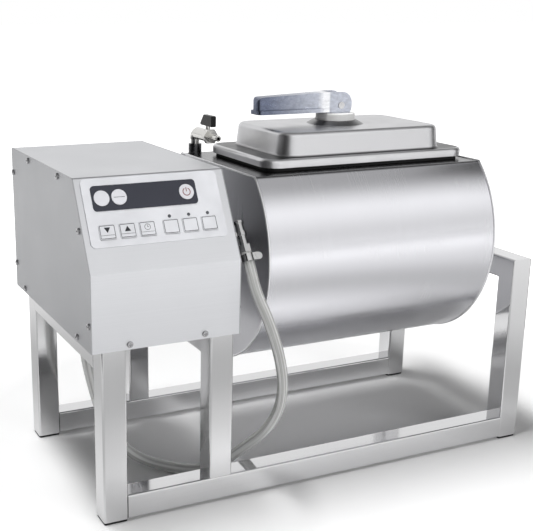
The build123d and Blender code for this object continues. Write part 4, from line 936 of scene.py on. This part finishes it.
class TUMBLER_OT_studio(bpy.types.Operator):
    """Set up the floor, the lamps, the world and the camera."""

    bl_idname = "tumbler.studio"
    bl_label = "Studio"

    def execute(self, context):
        studio = settings()[2]
        self.floor()
        self.cards()
        self.world(context.scene)
        self.lamp("front_lamp", studio.key_power)
        self.lamp("top_lamp", studio.top_power)
        self.camera(context.scene, studio)
        context.scene.view_settings.view_transform = "Standard"
        return {"FINISHED"}

    def floor(self):
        """Lay a white floor that shows as white but keeps the tumbler's shadow."""
        # White painted board: matt, so that it only takes shadows
        material, tree, shader = new_material("white_studio_floor")
        shader.inputs["Roughness"].default_value = 0.8
        shader.inputs["Specular IOR Level"].default_value = 0.0
        path, seen = self.rays(tree)
        reach = measure(tree, ())
        # Mirrored in metal, the floor is a shade darker, most of all a step in front of the object
        tone = add_node(
            tree,
            "ShaderNodeMix",
            {
                "Factor": path["Is Glossy Ray"],
                "A": (0.9, 0.9, 0.9, 1.0),
                "B": self.levels(tree, reach, FLOOR_BANDS, FLOOR_BANDS[-1][0]),
            },
            data_type="RGBA",
        )
        tree.links.new(tone.outputs["Result"], shader.inputs["Base Color"])
        # Away from the object the lamps fall off, so the floor brightens by itself
        glows = []
        for rays, (near, far, start, end) in (
            (seen, SEEN_GLOW),
            (path["Is Glossy Ray"], MIRRORED_GLOW),
        ):
            level = add_node(
                tree,
                "ShaderNodeMapRange",
                {
                    "Value": reach,
                    "From Min": start,
                    "From Max": end,
                    "To Min": near,
                    "To Max": far,
                },
            )
            inputs = {0: rays, 1: level.outputs["Result"]}
            glow = add_node(tree, "ShaderNodeMath", inputs, operation="MULTIPLY")
            glows.append(glow.outputs["Value"])
        glow = add_node(tree, "ShaderNodeMath", dict(enumerate(glows)), operation="ADD")
        shader.inputs["Emission Color"].default_value = (1, 1, 1, 1)
        tree.links.new(glow.outputs["Value"], shader.inputs["Emission Strength"])
        sides = ((-1, -1), (1, -1), (1, 1), (-1, 1))
        corners = [(x * FLOOR_HALF, y * FLOOR_HALF, 0.0) for x, y in sides]
        self.sheet("floor", corners, material)

    def cards(self):
        """Stand black cards at both sides, which only show as dark lines in polished metal."""
        # Black felt: swallows nearly all the light that falls on it
        material, _, shader = new_material("black_felt")
        shader.inputs["Base Color"].default_value = (0.01, 0.01, 0.01, 1)
        shader.inputs["Roughness"].default_value = 1.0
        shader.inputs["Specular IOR Level"].default_value = 0.0
        for name, ((x, y), (far_x, far_y)) in CARDS.items():
            foot = [(x, y, 0.0), (far_x, far_y, 0.0)]
            top = [(far_x, far_y, CARD_HEIGHT), (x, y, CARD_HEIGHT)]
            card = self.sheet(name, foot + top, material)
            card.visible_camera = False
            card.visible_diffuse = False
            card.visible_shadow = False
            card.visible_transmission = False

    def sheet(self, name, corners, material):
        """Make a flat stage piece from its four corners."""
        data = bpy.data.meshes.new(name)
        data.from_pydata(corners, [], [(0, 1, 2, 3)])
        data.materials.append(material)
        piece = add_object(name, data)
        return piece

    def rays(self, tree):
        """The kinds of rays, and those that show a thing itself, straight or through vinyl."""
        path = add_node(tree, "ShaderNodeLightPath").outputs
        inputs = {0: path["Is Camera Ray"], 1: path["Is Transmission Ray"]}
        seen = add_node(tree, "ShaderNodeMath", inputs, operation="MAXIMUM")
        return path, seen.outputs["Value"]

    def levels(self, tree, value, bands, span):
        """Turn a value from 0 to a span into the grey levels that a list of bands gives."""
        share = add_node(tree, "ShaderNodeMapRange", {"Value": value, "From Max": span})
        made = add_node(tree, "ShaderNodeValToRGB", {"Fac": share.outputs["Result"]})
        elements = made.color_ramp.elements
        while len(elements) < len(bands):
            elements.new(0.5)
        for element, (place, level) in zip(elements, bands):
            element.position = place / bands[-1][0]
            element.color = (level, level, level, 1)
        return made.outputs["Color"]

    def world(self, scene):
        """Surround everything with soft light: white where it is seen, banded where mirrored."""
        world = bpy.data.worlds.new("studio")
        scene.world = world
        world.use_nodes = True
        tree = world.node_tree
        tree.nodes.clear()
        path, seen = self.rays(tree)
        # Angle of a mirrored ray about the drum's axis: 0 is the front horizon, 90 is overhead
        coordinates = add_node(tree, "ShaderNodeTexCoord")
        way = add_node(
            tree, "ShaderNodeSeparateXYZ", {"Vector": coordinates.outputs["Generated"]}
        ).outputs
        front = add_node(tree, "ShaderNodeMath", {0: way["Y"], 1: -1.0}, operation="MULTIPLY")
        inputs = {0: way["Z"], 1: front.outputs["Value"]}
        turn = add_node(tree, "ShaderNodeMath", inputs, operation="ARCTAN2")
        bands = self.levels(tree, turn.outputs["Value"], SKY_BANDS, math.pi)
        # A dark drape hangs at the left, and shows as a dark line down rounded left corners
        drape = add_node(
            tree,
            "ShaderNodeMapRange",
            {
                "Value": way["X"],
                "From Min": DRAPE_EDGES[0],
                "From Max": DRAPE_EDGES[1],
                "To Min": DRAPE_LEVEL,
            },
        )
        soft, white, mirrored = (
            add_node(
                tree, "ShaderNodeBackground", {"Color": colour, "Strength": strength}
            ).outputs["Background"]
            for colour, strength in (
                ((1, 1, 1, 1), 0.1),
                ((1, 1, 1, 1), 1.0),
                (bands, drape.outputs["Result"]),
            )
        )
        inputs = {0: path["Is Glossy Ray"], 1: soft, 2: mirrored}
        lit = add_node(tree, "ShaderNodeMixShader", inputs)
        inputs = {0: seen, 1: lit.outputs["Shader"], 2: white}
        shown = add_node(tree, "ShaderNodeMixShader", inputs)
        add_node(tree, "ShaderNodeOutputWorld", {"Surface": shown.outputs["Shader"]})

    def lamp(self, name, power):
        """Hang a soft box that points at its target, and hide it from mirroring metal."""
        place, target, size = LAMPS[name]
        data = bpy.data.lights.new(name, "AREA")
        data.shape = "RECTANGLE"
        data.size, data.size_y = size
        data.energy = power
        lamp = add_object(name, data)
        lamp.visible_glossy = False
        lamp.location = place
        way = Vector(target) - Vector(place)
        lamp.rotation_euler = way.to_track_quat("-Z", "Y").to_euler()

    def camera(self, scene, studio):
        """Stand the camera where the photograph was taken from."""
        data = bpy.data.cameras.new("camera")
        data.lens = studio.lens
        data.sensor_width = 36.0
        data.shift_x, data.shift_y = studio.shift
        data.dof.use_dof = False
        data.clip_start = 0.05
        data.clip_end = 50.0
        camera = add_object("camera", data)
        forward = Vector(CAMERA_FORWARD).normalized()
        up = Vector(CAMERA_ACROSS).cross(forward).normalized()
        across = forward.cross(up)
        turn = Matrix((across, up, -forward)).transposed()
        camera.matrix_world = Matrix.Translation(studio.place) @ turn.to_4x4()
        scene.camera = camera


class TUMBLER_PT_looks(bpy.types.Panel):
    """Lists the steps that dress the tumbler."""

    bl_label = "Tumbler"
    bl_space_type = "VIEW_3D"
    bl_region_type = "UI"
    bl_category = "Tumbler"

    def draw(self, context):
        for step in STEPS:
            self.layout.operator(step.bl_idname)
        for group in settings():
            for name in group.__annotations__:
                self.layout.prop(group, name)


STEPS = (
    TUMBLER_OT_frame,
    TUMBLER_OT_housing,
    TUMBLER_OT_panel,
    TUMBLER_OT_drum,
    TUMBLER_OT_lid,
    TUMBLER_OT_valve,
    TUMBLER_OT_hose,
    TUMBLER_OT_studio,
)
CLASSES = (TumblerFinish, TumblerDetail, TumblerStudio, *STEPS, TUMBLER_PT_looks)


def register():
    """Register the classes and their settings."""
    for item in CLASSES:
        bpy.utils.register_class(item)
    bpy.types.Scene.tumbler_finish = PointerProperty(type=TumblerFinish)
    bpy.types.Scene.tumbler_detail = PointerProperty(type=TumblerDetail)
    bpy.types.Scene.tumbler_studio = PointerProperty(type=TumblerStudio)


def unregister():
    """Take the settings and classes away again."""
    del bpy.types.Scene.tumbler_finish
    del bpy.types.Scene.tumbler_detail
    del bpy.types.Scene.tumbler_studio
    for item in reversed(CLASSES):
        bpy.utils.unregister_class(item)


def main():
    """Run every step in order."""
    register()
    for step in STEPS:
        area, action = step.bl_idname.split(".")
        getattr(getattr(bpy.ops, area), action)()


if __name__ == "__main__":
    main()
